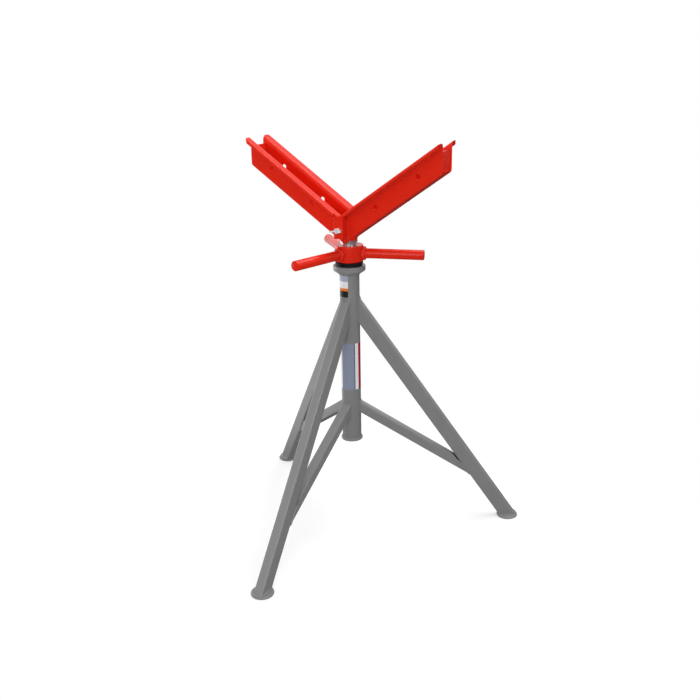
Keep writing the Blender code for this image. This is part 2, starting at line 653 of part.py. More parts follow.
make_centre_tube()
make_collar()
make_key()
make_tripod()
make_thrust_rings()
make_handle_nut()
make_screw()
make_head()
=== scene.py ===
import math

import bmesh
import bpy
from mathutils import Matrix, Vector
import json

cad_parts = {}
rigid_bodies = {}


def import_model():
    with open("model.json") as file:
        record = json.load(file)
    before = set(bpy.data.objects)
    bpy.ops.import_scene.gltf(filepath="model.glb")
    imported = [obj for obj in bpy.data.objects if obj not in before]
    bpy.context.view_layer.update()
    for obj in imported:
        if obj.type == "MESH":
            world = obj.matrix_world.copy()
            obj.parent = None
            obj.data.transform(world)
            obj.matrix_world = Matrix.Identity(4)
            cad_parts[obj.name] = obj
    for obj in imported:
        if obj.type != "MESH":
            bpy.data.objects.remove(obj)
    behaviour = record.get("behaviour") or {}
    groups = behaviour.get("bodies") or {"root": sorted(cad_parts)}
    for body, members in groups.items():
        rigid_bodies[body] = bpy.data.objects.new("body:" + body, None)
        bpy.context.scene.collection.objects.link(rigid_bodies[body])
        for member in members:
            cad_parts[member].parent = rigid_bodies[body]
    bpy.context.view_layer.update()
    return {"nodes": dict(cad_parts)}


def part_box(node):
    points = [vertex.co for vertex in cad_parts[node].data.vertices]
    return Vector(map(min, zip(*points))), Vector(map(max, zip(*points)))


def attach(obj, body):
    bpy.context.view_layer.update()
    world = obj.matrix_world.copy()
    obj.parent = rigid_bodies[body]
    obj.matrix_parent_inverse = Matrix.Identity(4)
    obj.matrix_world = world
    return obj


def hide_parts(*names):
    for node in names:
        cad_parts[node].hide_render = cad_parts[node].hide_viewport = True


for leftover in list(bpy.data.objects):
    bpy.data.objects.remove(leftover)
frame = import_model()

# Centre tube: 2 in steel tube with 2.8 mm walls, cut to length on a saw and deburred. It carries
# the legs, and the screw slides in it. Like the whole base it is sprayed after welding with satin
# grey paint, which is even and hides the steel's grain but lets soft highlights run along edges.
MM = 0.001
TUBE_WALL = 2.77 * MM
SAW_EDGE = 0.4 * MM
COLOUR_DRIFT = 60 * MM
PEEL_DEPTH = 0.006 * MM
ROUND_STEPS = 96
MERGE = 0.002 * MM


def linear(code):
    """An sRGB hex colour as linear red, green, blue and alpha."""
    shares = [int(code[i:i + 2], 16) / 255 for i in (1, 3, 5)]
    return [s / 12.92 if s <= 0.04045 else ((s + 0.055) / 1.055) ** 2.4 for s in shares] + [1]


def add_node(tree, kind, inputs=None, **settings):
    """Add a node and set it up. An input gets a value, or a link from a socket or a node's first output."""
    made = tree.nodes.new(kind)
    for key, value in settings.items():
        setattr(made, key, value)
    for key, value in (inputs or {}).items():
        if isinstance(value, bpy.types.Node):
            value = next(socket for socket in value.outputs if socket.enabled)
        if isinstance(value, bpy.types.NodeSocket):
            tree.links.new(value, made.inputs[key])
        else:
            made.inputs[key].default_value = value
    return made


def new_material(name):
    """An empty node material, its tree, and its Object coordinates."""
    material = bpy.data.materials.new(name)
    material.use_nodes = True
    tree = material.node_tree
    tree.nodes.clear()
    return material, tree, add_node(tree, "ShaderNodeTexCoord").outputs["Object"]


def spray_paint(name, colour, cast, roughness, mirror, coat, peel):
    """Sprayed paint: a colour that drifts slightly over a hand's width, and the film's orange peel."""
    material, tree, place = new_material(name)
    drift = add_node(tree, "ShaderNodeTexNoise", {"Vector": place, "Scale": 1 / COLOUR_DRIFT, "Detail": 2})
    blend = add_node(tree, "ShaderNodeMix", {"Factor": drift, "A": linear(colour), "B": linear(cast)},
                     data_type="RGBA")
    shine = add_node(tree, "ShaderNodeMapRange", {"Value": drift, "To Min": roughness * 0.9,
                                                  "To Max": roughness * 1.1})
    dimples = add_node(tree, "ShaderNodeTexNoise", {"Vector": place, "Scale": 1 / peel, "Detail": 1})
    film = add_node(tree, "ShaderNodeBump", {"Height": dimples, "Strength": 0.5, "Distance": PEEL_DEPTH})
    skin = add_node(tree, "ShaderNodeBsdfPrincipled", {
        "Base Color": blend, "Roughness": shine, "Normal": film, "Specular IOR Level": mirror,
        "Coat Weight": coat, "Coat Roughness": 0.08})
    add_node(tree, "ShaderNodeOutputMaterial", {"Surface": skin})
    return material


GREY_PAINT = spray_paint("satin_grey_paint", "#858586", "#8a8a8b", roughness=0.34, mirror=0.5, coat=0,
                         peel=2 * MM)


def placed(name, data):
    """A linked object at the origin for a mesh, a lamp or a camera."""
    obj = bpy.data.objects.new(name, data)
    bpy.context.scene.collection.objects.link(obj)
    return obj


def finish(name, mesh, material, body, slot, *nodes):
    """A finished piece, riding on its body in place of the plainer solids that it stands for."""
    obj = placed(name, mesh)
    mesh.materials.clear()
    mesh.materials.append(material)
    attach(obj, body)
    if nodes:
        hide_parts(*nodes)


def as_mesh(bm, name):
    """The mesh of a bmesh, which is freed."""
    mesh = bpy.data.meshes.new(name)
    bm.to_mesh(mesh)
    bm.free()
    return mesh


def shaded(mesh, sharp_deg=35):
    """Smooth shading that stays crisp at edges sharper than an angle."""
    mesh.shade_smooth()
    mesh.set_sharp_from_angle(angle=math.radians(sharp_deg))
    return mesh


def rounded(corners, radii, steps=6):
    """An outline with an arc in place of each corner that has a radius."""
    points = []
    for i, radius in enumerate(radii):
        here = Vector(corners[i])
        if radius == 0:
            points.append(here)
            continue
        back = Vector(corners[i - 1]) - here
        ahead = Vector(corners[(i + 1) % len(corners)]) - here
        half = back.angle(ahead) / 2
        centre = here + (back.normalized() + ahead.normalized()).normalized() * (radius / math.sin(half))
        tangent = radius / math.tan(half)
        first = here + back.normalized() * tangent - centre
        last = here + ahead.normalized() * tangent - centre
        for k in range(steps + 1):
            points.append(centre + radius * first.normalized().slerp(last.normalized(), k / steps))
    return points


def lathe(name, section, steps=ROUND_STEPS):
    """A turned piece from the closed outline of its section, as (radius, height) points."""
    bm = bmesh.new()
    ring = [bm.verts.new((r, 0, z)) for r, z in section]
    edges = [bm.edges.new((ring[i - 1], ring[i])) for i in range(len(ring))
             if section[i - 1][0] + section[i][0] > 0]
    bmesh.ops.spin(bm, geom=ring + edges, axis=(0, 0, 1), cent=(0, 0, 0), steps=steps, angle=2 * math.pi)
    bmesh.ops.remove_doubles(bm, verts=bm.verts, dist=MERGE)
    bmesh.ops.recalc_face_normals(bm, faces=bm.faces)
    return shaded(as_mesh(bm, name))


def ring_section(bore_r, outer_r, low, high, *edge_radii):
    """The section of a ring, its edges rounded at the outer top, outer bottom, inner bottom and inner top."""
    corners = [(outer_r, high), (outer_r, low), (bore_r, low), (bore_r, high)]
    return rounded(corners, edge_radii)


tube_low, tube_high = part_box("centre_tube")
TUBE_R = tube_high.x
tube_section = ring_section(TUBE_R - TUBE_WALL, TUBE_R, tube_low.z, tube_high.z, *[SAW_EDGE] * 4)
finish("upright_tube", lathe("upright_tube", tube_section), GREY_PAINT, "base", "grey_paint", "centre_tube")

# End plate: a round steel disc 6.4 mm thick, its rim turned to a round, welded on under the tube
# to close its lower end.
PLATE_RIM_R = 2.8 * MM
plate_low, plate_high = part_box("tube_end_plate")


def disc_section(radius, low, high, rim):
    """Half the section of a disc with a rounded rim."""
    return rounded([(0, high), (radius, high), (radius, low), (0, low)], [0, rim, rim, 0])


plate_section = disc_section(plate_high.x, plate_low.z, plate_high.z, PLATE_RIM_R)
finish("end_plate", lathe("end_plate", plate_section), GREY_PAINT, "base", "grey_paint", "tube_end_plate")

# Collar: a thick ring turned from bar, coned underneath where it meets the tube, and welded
# round the tube's top. The thrust washer lies on its flat top.
COLLAR_EDGE = 0.9 * MM
COLLAR_LOWER_R = 3 * MM
COLLAR_DEPTH = 12.8 * MM
NECK_OD = 54.4 * MM
SEAT_GAP = 0.3 * MM
collar_low, collar_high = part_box("top_collar")
collar_bore = TUBE_R + SEAT_GAP
collar_corners = [(collar_high.x, collar_high.z), (collar_high.x, collar_high.z - COLLAR_DEPTH),
                  (NECK_OD / 2, collar_low.z), (collar_bore, collar_low.z), (collar_bore, collar_high.z)]
collar_section = rounded(collar_corners, [COLLAR_EDGE, COLLAR_LOWER_R, COLLAR_EDGE, 0, 0])
finish("collar", lathe("collar", collar_section), GREY_PAINT, "base", "grey_paint", "top_collar")

# Guide key: a bar of bright key steel in the tube's slot, that keeps the screw from turning. It is
# ground, so it keeps straight marks along its length. Real tool marks are too fine to show, and all
# the bare metals here have them drawn coarser.
OIL_PATCH = 25 * MM


def machined_steel(name, colour, roughness, mark, mark_depth, stretch, metal=1.0):
    """Bare steel with the fine tool marks of turning or grinding, and a trace of oil."""
    material, tree, place = new_material(name)
    along = add_node(tree, "ShaderNodeMapping", {"Vector": place, "Scale": stretch})
    marks = add_node(tree, "ShaderNodeTexNoise", {"Vector": along, "Scale": 1 / mark})
    oil = add_node(tree, "ShaderNodeTexNoise", {"Vector": place, "Scale": 1 / OIL_PATCH})
    shine = add_node(tree, "ShaderNodeMapRange", {"Value": oil, "To Min": roughness * 0.8,
                                                  "To Max": roughness * 1.25})
    tooled = add_node(tree, "ShaderNodeBump", {"Height": marks, "Strength": 0.4, "Distance": mark_depth})
    skin = add_node(tree, "ShaderNodeBsdfPrincipled", {
        "Base Color": linear(colour), "Metallic": metal, "Roughness": shine, "Normal": tooled})
    add_node(tree, "ShaderNodeOutputMaterial", {"Surface": skin})
    return material


KEY_STEEL = machined_steel("ground_key_steel", "#b4b4b6", roughness=0.3, mark=0.5 * MM, mark_depth=0.02 * MM,
                           stretch=(1, 1, 0.05))
key = frame["nodes"]["guide_key"]
key.data.materials.clear()
key.data.materials.append(KEY_STEEL)

# Legs: 1 x 1.5 in rectangular tube, coped to the centre tube at the top and cut level on its foot
# at the bottom, its corners drawn to a 4 mm radius at the tube mill.
LEG_WIDTH = 25.4 * MM
LEG_DEPTH = 38.1 * MM
LEG_WALL = 2.1 * MM
LEG_CORNER_R = 4 * MM
LEG_APEX_Z = 636.5 * MM
FOOT_CIRCLE_R = 430 * MM
FIRST_LEG_TURN = math.radians(26.25)
LEG_COUNT = 3
LEAST_CORNER_R = 0.5 * MM
FLAT_STEP = 3 * MM
foot_low, foot_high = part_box("foot_1")
foot_top = foot_high.z - foot_low.z
LEG_SLOPE = math.atan2(LEG_APEX_Z - foot_top, FOOT_CIRCLE_R)


def tube_outline(depth, width, corner_r, wall=0):
    """The section of a rectangular tube, sunk by a wall's thickness, with points along its flats too."""
    x, y = depth / 2 - wall, width / 2 - wall
    arcs = rounded([(x, y), (-x, y), (-x, -y), (x, -y)], [max(corner_r - wall, LEAST_CORNER_R)] * 4)
    points = []
    for i, here in enumerate(arcs):
        gap = here - arcs[i - 1]
        count = max(1, round(gap.length / FLAT_STEP))
        points += [arcs[i - 1] + gap * (k + 1) / count for k in range(count)]
    return points


def strut_point(apex_z, slope, up, side, along):
    """A point of a strut that leaves the axis at a height and a slope, in the strut's own plane."""
    return Vector((up * math.sin(slope) + along * math.cos(slope), side,
                   apex_z + up * math.cos(slope) - along * math.sin(slope)))


def to_cylinder(slope, radius):
    """How far along a strut's surface line starts at the tube."""
    return lambda up, side: (math.sqrt(radius ** 2 - side ** 2) - up * math.sin(slope)) / math.cos(slope)


def to_level(apex_z, slope, height):
    """How far along a strut's surface line reaches a height."""
    return lambda up, side: (apex_z + up * math.cos(slope) - height) / math.sin(slope)


def strut(name, outlines, apex_z, slope, start, stop, turn):
    """A tube between two surfaces: its outer and inner skins, joined by a ring at each end."""
    bm = bmesh.new()
    place = Matrix.Rotation(turn, 4, "Z")
    loops = []
    for outline in outlines:
        for ends in (start, stop):
            loops.append([bm.verts.new(place @ strut_point(apex_z, slope, up, side, ends(up, side)))
                          for up, side in outline])
    outer_start, outer_stop, inner_start, inner_stop = loops
    for one, other in ((outer_start, outer_stop), (inner_start, inner_stop)):
        for i in range(len(one)):
            bm.faces.new((one[i - 1], one[i], other[i], other[i - 1]))
    for rims in ((outer_start, inner_start), (outer_stop, inner_stop)):
        edges = [bm.edges.get((rim[i - 1], rim[i])) for rim in rims for i in range(len(rim))]
        bmesh.ops.bridge_loops(bm, edges=edges)
    bmesh.ops.recalc_face_normals(bm, faces=bm.faces)
    return shaded(as_mesh(bm, name))


leg_outlines = [tube_outline(LEG_DEPTH, LEG_WIDTH, LEG_CORNER_R),
                tube_outline(LEG_DEPTH, LEG_WIDTH, LEG_CORNER_R, LEG_WALL)]
leg_top = to_cylinder(LEG_SLOPE, TUBE_R + SEAT_GAP)
leg_bottom = to_level(LEG_APEX_Z, LEG_SLOPE, foot_top + SEAT_GAP)
leg_turns = [FIRST_LEG_TURN + k * 2 * math.pi / LEG_COUNT for k in range(LEG_COUNT)]
for number, turn in enumerate(leg_turns, 1):
    leg = strut(f"leg_tube_{number}", leg_outlines, LEG_APEX_Z, LEG_SLOPE, leg_top, leg_bottom, turn)
    finish(f"leg_tube_{number}", leg, GREY_PAINT, "base", "grey_paint", f"leg_{number}")

# Braces: 1 in square tube from low on the centre tube to each leg's inner face. The saw cut is a
# little less steep than the leg, so it touches below and stays open by 3 mm at the top.
BRACE_SIDE = 25.4 * MM
BRACE_WALL = 2.1 * MM
BRACE_CORNER_R = 3 * MM
BRACE_APEX_Z = 348.6 * MM
BRACE_MEET_Z = 158.5 * MM
BRACE_TOP_GAP = 3 * MM
leg_face_z = LEG_APEX_Z - (LEG_DEPTH / 2 + SEAT_GAP) / math.cos(LEG_SLOPE)
meet_r = (leg_face_z - BRACE_MEET_Z) / math.tan(LEG_SLOPE)
BRACE_SLOPE = math.atan2(BRACE_APEX_Z - BRACE_MEET_Z, meet_r)
mitre = BRACE_SIDE / math.sin(LEG_SLOPE - BRACE_SLOPE)
cut_fall = math.tan(LEG_SLOPE - math.atan2(BRACE_TOP_GAP, mitre))
toe_r = meet_r + mitre / 2 * math.cos(LEG_SLOPE)
cut_apex_z = BRACE_MEET_Z - mitre / 2 * math.sin(LEG_SLOPE) + toe_r * cut_fall


def to_leg(up, side):
    """How far along a brace's surface line reaches the saw cut that faces the leg."""
    start_r = up * math.sin(BRACE_SLOPE)
    start_z = BRACE_APEX_Z + up * math.cos(BRACE_SLOPE)
    approach = cut_fall * math.cos(BRACE_SLOPE) - math.sin(BRACE_SLOPE)
    return (cut_apex_z - start_z - cut_fall * start_r) / approach


brace_outlines = [tube_outline(BRACE_SIDE, BRACE_SIDE, BRACE_CORNER_R),
                  tube_outline(BRACE_SIDE, BRACE_SIDE, BRACE_CORNER_R, BRACE_WALL)]
brace_top = to_cylinder(BRACE_SLOPE, TUBE_R + SEAT_GAP)
for number, turn in enumerate(leg_turns, 1):
    brace = strut(f"brace_tube_{number}", brace_outlines, BRACE_APEX_Z, BRACE_SLOPE, brace_top, to_leg, turn)
    finish(f"brace_tube_{number}", brace, GREY_PAINT, "base", "grey_paint", f"brace_{number}")

# Feet: round steel plates with a rolled rim, one welded level under each leg, so that the stand
# rests on three flat pads.
FOOT_RIM_R = 2.4 * MM
FOOT_R = (foot_high.x - foot_low.x) / 2
for number, turn in enumerate(leg_turns, 1):
    foot = lathe(f"foot_plate_{number}", disc_section(FOOT_R, foot_low.z, foot_high.z, FOOT_RIM_R))
    foot.transform(Matrix.Rotation(turn, 4, "Z") @ Matrix.Translation((FOOT_CIRCLE_R, 0, 0)))
    finish(f"foot_plate_{number}", foot, GREY_PAINT, "base", "grey_paint", f"foot_{number}")

# Welds of the base: beads of wire weld laid round each joint by hand, rippled like a row of
# overlapping coins, and sprayed over with the rest. A brace is welded to its leg below and at the
# sides, and the saw cut's open end above stays clear.
WELD_PITCH = 2.2 * MM
WELD_WANDER = 9 * MM
WELD_RIPPLE_SHARE = 0.12
WELD_STEP_SHARE = 0.25
WELD_LEAST_SHARE = 0.8
WELD_MOST_SHARE = 1.15
BEAD_SIDES = 10
BASE_WELD_R = 2.6 * MM
JOINT_WELD_SINK = 1 * MM
JOINT_WELD_REACH = 0.9 * MM
JOINT_WELD_TOP = 0.32 * BRACE_SIDE


def input_keys(tree, wanted):
    """Give a Geometry Nodes tree its named inputs, and return each one's identifier by its name."""
    tree.is_modifier = True
    keys = {}
    for label, kind in wanted.items():
        made = tree.interface.new_socket(label, in_out="INPUT", socket_type="NodeSocket" + kind)
        keys[label] = made.identifier
    return keys


def ending(tree, geometry, material, label):
    """End a Geometry Nodes tree in real geometry with its material."""
    tree.interface.new_socket(label, in_out="OUTPUT", socket_type="NodeSocketGeometry")
    real = add_node(tree, "GeometryNodeRealizeInstances", {"Geometry": geometry})
    coated = add_node(tree, "GeometryNodeSetMaterial", {"Geometry": real, "Material": material})
    add_node(tree, "NodeGroupOutput", {label: coated})


def weld_tree():
    """Geometry Nodes that run a rippled bead along the edges of a mesh."""
    tree = bpy.data.node_groups.new("weld_bead", "GeometryNodeTree")
    keys = input_keys(tree, {"Path": "Geometry", "Radius": "Float", "Pitch": "Float", "Ripple": "Float",
                             "Seed": "Float", "Finish": "Material"})
    given = add_node(tree, "NodeGroupInput").outputs
    path = add_node(tree, "GeometryNodeMeshToCurve", {"Mesh": given["Path"]})
    step = add_node(tree, "ShaderNodeMath", {0: given["Pitch"], 1: WELD_STEP_SHARE}, operation="MULTIPLY")
    fine = add_node(tree, "GeometryNodeResampleCurve", {"Curve": path, "Length": step}, mode="LENGTH")
    length = add_node(tree, "GeometryNodeSplineParameter").outputs["Length"]
    coins = add_node(tree, "ShaderNodeMath", {0: length, 1: given["Pitch"]}, operation="DIVIDE")
    phase = add_node(tree, "ShaderNodeMath", {0: coins}, operation="FRACT")
    crest = add_node(tree, "ShaderNodeMath", {0: phase, 1: given["Ripple"]}, operation="MULTIPLY")
    place = add_node(tree, "GeometryNodeInputPosition")
    hand = add_node(tree, "ShaderNodeTexNoise", {
        "Vector": place, "W": given["Seed"], "Scale": 1 / WELD_WANDER, "Detail": 1}, noise_dimensions="4D")
    wander = add_node(tree, "ShaderNodeMapRange", {"Value": hand, "To Min": WELD_LEAST_SHARE,
                                                   "To Max": WELD_MOST_SHARE})
    size = add_node(tree, "ShaderNodeMath", {0: wander, 1: crest}, operation="ADD")
    thick = add_node(tree, "ShaderNodeMath", {0: size, 1: given["Radius"]}, operation="MULTIPLY")
    ring = add_node(tree, "GeometryNodeCurvePrimitiveCircle", {"Resolution": BEAD_SIDES, "Radius": 1.0})
    bead = add_node(tree, "GeometryNodeCurveToMesh", {
        "Curve": fine, "Profile Curve": ring, "Scale": thick, "Fill Caps": True})
    smooth = add_node(tree, "GeometryNodeSetShadeSmooth", {"Geometry": bead})
    ending(tree, smooth, given["Finish"], "Bead")
    return tree, keys


WELD_TREE, WELD_KEYS = weld_tree()


def baked(obj):
    """The plain mesh of an object with its modifiers applied. The object is removed."""
    bpy.context.view_layer.update()
    mesh = bpy.data.meshes.new_from_object(obj.evaluated_get(bpy.context.evaluated_depsgraph_get()))
    bpy.data.objects.remove(obj)
    return mesh


def grown(mesh, tree, keys, values):
    """The mesh that a Geometry Nodes tree makes of a mesh, with its inputs set by name."""
    obj = placed(mesh.name, mesh)
    modifier = obj.modifiers.new("grow", "NODES")
    modifier.node_group = tree
    for label, value in values.items():
        modifier[keys[label]] = value
    return baked(obj)


def weld(name, runs, radius, material, seed):
    """One mesh of beads along runs of points; a run that closes is a whole ring of weld."""
    bm = bmesh.new()
    for points, closes in runs:
        verts = [bm.verts.new(p) for p in points]
        for one, other in zip(verts, verts[1:] + verts[:1] if closes else verts[1:]):
            bm.edges.new((one, other))
    return grown(as_mesh(bm, name), WELD_TREE, WELD_KEYS, {
        "Radius": radius, "Pitch": WELD_PITCH, "Ripple": WELD_RIPPLE_SHARE, "Seed": seed, "Finish": material})


def strut_ring(outline, apex_z, slope, ends, turn):
    """The run of weld round the end of a strut."""
    place = Matrix.Rotation(turn, 4, "Z")
    return [place @ strut_point(apex_z, slope, up, side, ends(up, side)) for up, side in outline]


def past_leg(up, side):
    """How far along a brace's surface line reaches the middle of its weld to the leg."""
    return to_leg(up, side) + JOINT_WELD_REACH


def circle_run(radius, height):
    """A level ring of weld about the stand's axis."""
    turns = [2 * math.pi * k / ROUND_STEPS for k in range(ROUND_STEPS)]
    return [Vector((radius * math.cos(a), radius * math.sin(a), height)) for a in turns]


leg_runs = []
brace_runs = []
joint_outline = tube_outline(BRACE_SIDE, BRACE_SIDE, BRACE_CORNER_R, JOINT_WELD_SINK)
joint_outline = [(up, side) for up, side in joint_outline if up < JOINT_WELD_TOP]
for turn in leg_turns:
    for ends in (leg_top, leg_bottom):
        leg_runs.append((strut_ring(leg_outlines[0], LEG_APEX_Z, LEG_SLOPE, ends, turn), True))
    brace_runs.append((strut_ring(brace_outlines[0], BRACE_APEX_Z, BRACE_SLOPE, brace_top, turn), True))
    brace_runs.append((strut_ring(joint_outline, BRACE_APEX_Z, BRACE_SLOPE, past_leg, turn), False))
tube_runs = [(circle_run(TUBE_R, z), True) for z in (plate_high.z, collar_low.z)]
for name, runs, seed in (("leg_welds", leg_runs, 1), ("brace_welds", brace_runs, 2),
                         ("tube_welds", tube_runs, 3)):
    finish(name, weld(name, runs, BASE_WELD_R, GREY_PAINT, seed), GREY_PAINT, "base", "grey_paint")

# Labels: two films of printed vinyl stuck on the tube, the small one above and the wide one nearly
# round it. Their inks are plain bands, each from a share to a share of the film.
LABEL_THICK = 0.15 * MM
LABEL_LIFT = 0.05 * MM
LABEL_STEP = 1.2 * MM
LABEL_GRAIN = 2 * MM
LABEL_GRAIN_DEPTH = 0.01 * MM
VIEW_SIDE = math.radians(-62.6)
SMALL_TURNS = (VIEW_SIDE + math.radians(-118), VIEW_SIDE + math.radians(-10))
SMALL_HEIGHTS = (641 * MM, 698 * MM)
SMALL_CORNER_R = 1.5 * MM
SMALL_BAND_SHARES = [(0.72, 1, "#a9adc0"), (0.42, 0.72, "#eceef2"), (0.29, 0.42, "#ee7a22"),
                     (0, 0.29, "#232323")]
WRAP_TURNS = (VIEW_SIDE + math.radians(-167), VIEW_SIDE + math.radians(188))
WRAP_HEIGHTS = (389 * MM, 516.5 * MM)
WRAP_CORNER_R = 1 * MM
PANEL_SHARES = [(0, 0.012, "#1d1d1f"), (0.012, 0.08, "#eef0f4"), (0.08, 0.2, "#b5202c"),
                (0.2, 0.27, "#eef0f4"), (0.27, 0.282, "#1d1d1f")]
PANEL_START_SHARES = (0.03, 0.53)


def label_sheet(name, turns, heights, corner_r):
    """A thin film bent round the tube, with its own UV in shares of its width and height."""
    radius = TUBE_R + LABEL_LIFT
    first, last = turns
    low, high = heights
    width = (last - first) * radius
    columns = max(2, round(width / LABEL_STEP))
    bm = bmesh.new()
    uv = bm.loops.layers.uv.new("film")
    shares = {}
    rows = []
    for j in range(columns + 1):
        across = j / columns
        near_edge = min(across, 1 - across) * width
        inset = 0
        if near_edge < corner_r:
            inset = corner_r - math.sqrt(corner_r ** 2 - (corner_r - near_edge) ** 2)
        angle = first + across * (last - first)
        pair = []
        for up in (inset / (high - low), 1 - inset / (high - low)):
            vert = bm.verts.new((radius * math.cos(angle), radius * math.sin(angle), low + up * (high - low)))
            shares[vert] = (across, up)
            pair.append(vert)
        rows.append(pair)
    for one, other in zip(rows, rows[1:]):
        face = bm.faces.new((one[0], other[0], other[1], one[1]))
        for loop in face.loops:
            loop[uv].uv = shares[loop.vert]
    sheet = placed(name, as_mesh(bm, name))
    thick = sheet.modifiers.new("film", "SOLIDIFY")
    thick.thickness = LABEL_THICK
    thick.offset = 1
    return shaded(baked(sheet))


def printed_film(name, axis, base, bands):
    """Printed vinyl under a clear laminate: flat bands of ink along one direction of the film."""
    material, tree, place = new_material(name)
    film = add_node(tree, "ShaderNodeUVMap", uv_map="film")
    spot = add_node(tree, "ShaderNodeSeparateXYZ", {"Vector": film}).outputs[axis]
    ink = linear(base)
    for low, high, colour in bands:
        inside = add_node(tree, "ShaderNodeMath", {0: spot, 1: (low + high) / 2, 2: (high - low) / 2},
                          operation="COMPARE")
        ink = add_node(tree, "ShaderNodeMix", {"Factor": inside, "A": ink, "B": linear(colour)},
                       data_type="RGBA")
    grain = add_node(tree, "ShaderNodeTexNoise", {"Vector": place, "Scale": 1 / LABEL_GRAIN})
    relief = add_node(tree, "ShaderNodeBump", {"Height": grain, "Strength": 0.3,
                                               "Distance": LABEL_GRAIN_DEPTH})
    skin = add_node(tree, "ShaderNodeBsdfPrincipled", {
        "Base Color": ink, "Roughness": 0.35, "Normal": relief, "Specular IOR Level": 0.3,
        "Coat Weight": 0.1, "Coat Roughness": 0.15})
    add_node(tree, "ShaderNodeOutputMaterial", {"Surface": skin})
    return material


small_film = printed_film("small_label_film", "Y", "#a9adc0", SMALL_BAND_SHARES)
small_label = label_sheet("small_label", SMALL_TURNS, SMALL_HEIGHTS, SMALL_CORNER_R)
finish("small_label", small_label, small_film, "base", "grey_paint")
stripes = [(low + start, high + start, ink)
           for start in PANEL_START_SHARES for low, high, ink in PANEL_SHARES]
wrap_film = printed_film("wrap_label_film", "X", "#8d95aa", stripes)
wrap_label = label_sheet("wrap_label", WRAP_TURNS, WRAP_HEIGHTS, WRAP_CORNER_R)
finish("wrap_label", wrap_label, wrap_film, "base", "grey_paint")

# Thrust washer: a hardened steel washer between the collar and the nut, blackened to a dull finish
# with a fine tooth.
BLACK_TOOTH_DEPTH = 0.03 * MM
SCREW_R = 22.225 * MM
RUN_GAP = 0.4 * MM
NUT_BORE_R = SCREW_R + RUN_GAP
WASHER_EDGE = 1.2 * MM


def dull_black(name, colour, roughness, grain):
    """A dull black surface with a fine tooth."""
    material, tree, place = new_material(name)
    specks = add_node(tree, "ShaderNodeTexNoise", {"Vector": place, "Scale": 1 / grain})
    tooth = add_node(tree, "ShaderNodeBump", {"Height": specks, "Strength": 0.5,
                                              "Distance": BLACK_TOOTH_DEPTH})
    skin = add_node(tree, "ShaderNodeBsdfPrincipled", {
        "Base Color": linear(colour), "Roughness": roughness, "Normal": tooth, "Specular IOR Level": 0.25})
    add_node(tree, "ShaderNodeOutputMaterial", {"Surface": skin})
    return material


WASHER_BLACK = dull_black("blackened_steel", "#101010", roughness=0.5, grain=1 * MM)
washer_low, washer_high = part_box("thrust_washer")
washer_section = ring_section(NUT_BORE_R, washer_high.x, washer_low.z, washer_high.z,
                              WASHER_EDGE, WASHER_EDGE, 0, 0)
finish("washer", lathe("washer", washer_section), WASHER_BLACK, "base", "black_washer", "thrust_washer")

# Seal ring: moulded black rubber between the washer and the nut, matt enough to take no highlight.
# It turns with the nut and keeps dirt out of the thread.
RING_EDGE = 1.6 * MM
RUBBER = dull_black("moulded_rubber", "#0d0d0d", roughness=0.62, grain=0.8 * MM)
ring_low, ring_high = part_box("seal_ring")
seal_section = ring_section(NUT_BORE_R, ring_high.x, ring_low.z, ring_high.z, RING_EDGE, RING_EDGE, 0, 0)
finish("dirt_seal", lathe("dirt_seal", seal_section), RUBBER, "nut", "black_rubber", "seal_ring")

# Handle nut: the hub is turned from bar and threaded inside, rounded below and sharper above. It
# and its bars wear the same gloss red enamel as the head, an even film with small bright highlights.
HUB_UPPER_R = 1.4 * MM
HUB_LOWER_R = 5 * MM
HUB_BORE_LOWER_R = 0.8 * MM
HUB_BORE_UPPER_R = 1.2 * MM
RED_ENAMEL = spray_paint("gloss_red_enamel", "#ea2812", "#e42610", roughness=0.24, mirror=0.17, coat=0.16,
                         peel=3 * MM)
hub_low, hub_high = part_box("handle_hub")
hub_section = ring_section(NUT_BORE_R, hub_high.x, hub_low.z, hub_high.z,
                           HUB_UPPER_R, HUB_LOWER_R, HUB_BORE_LOWER_R, HUB_BORE_UPPER_R)
finish("nut_hub", lathe("nut_hub", hub_section), RED_ENAMEL, "nut", "red_enamel", "handle_hub")

# Handle bars: 1 in round steel bars, coped to the hub's side and welded on with large rounded beads,
# with a small chamfer turned on their outer ends.
BAR_R = 12.7 * MM
BAR_REACH = 191.4 * MM
BAR_CHAMFER = 1.2 * MM
BAR_SOFTENED_SHARE = 0.3
BAR_COUNT = 3
BAR_STEPS = 48
FIRST_BAR_TURN = math.radians(14.41)
BAR_WELD_R = 6 * MM
BAR_WELD_SINK = 1.3 * MM
BAR_WELD_OFF = 2.6 * MM
BAR_Z = (hub_low.z + hub_high.z) / 2
HUB_R = hub_high.x
bar_turns = [FIRST_BAR_TURN + k * 2 * math.pi / BAR_COUNT for k in range(BAR_COUNT)]


def bar_ring(radius, hub_r=None, along=None):
    """A ring round a bar's axis: level with a place along it, or lying on a cylinder about the hub's axis."""
    ring = []
    for k in range(BAR_STEPS):
        a = 2 * math.pi * k / BAR_STEPS
        side, up = radius * math.cos(a), radius * math.sin(a)
        reach = math.sqrt(hub_r ** 2 - side ** 2) if hub_r else along
        ring.append(Vector((reach, side, BAR_Z + up)))
    return ring


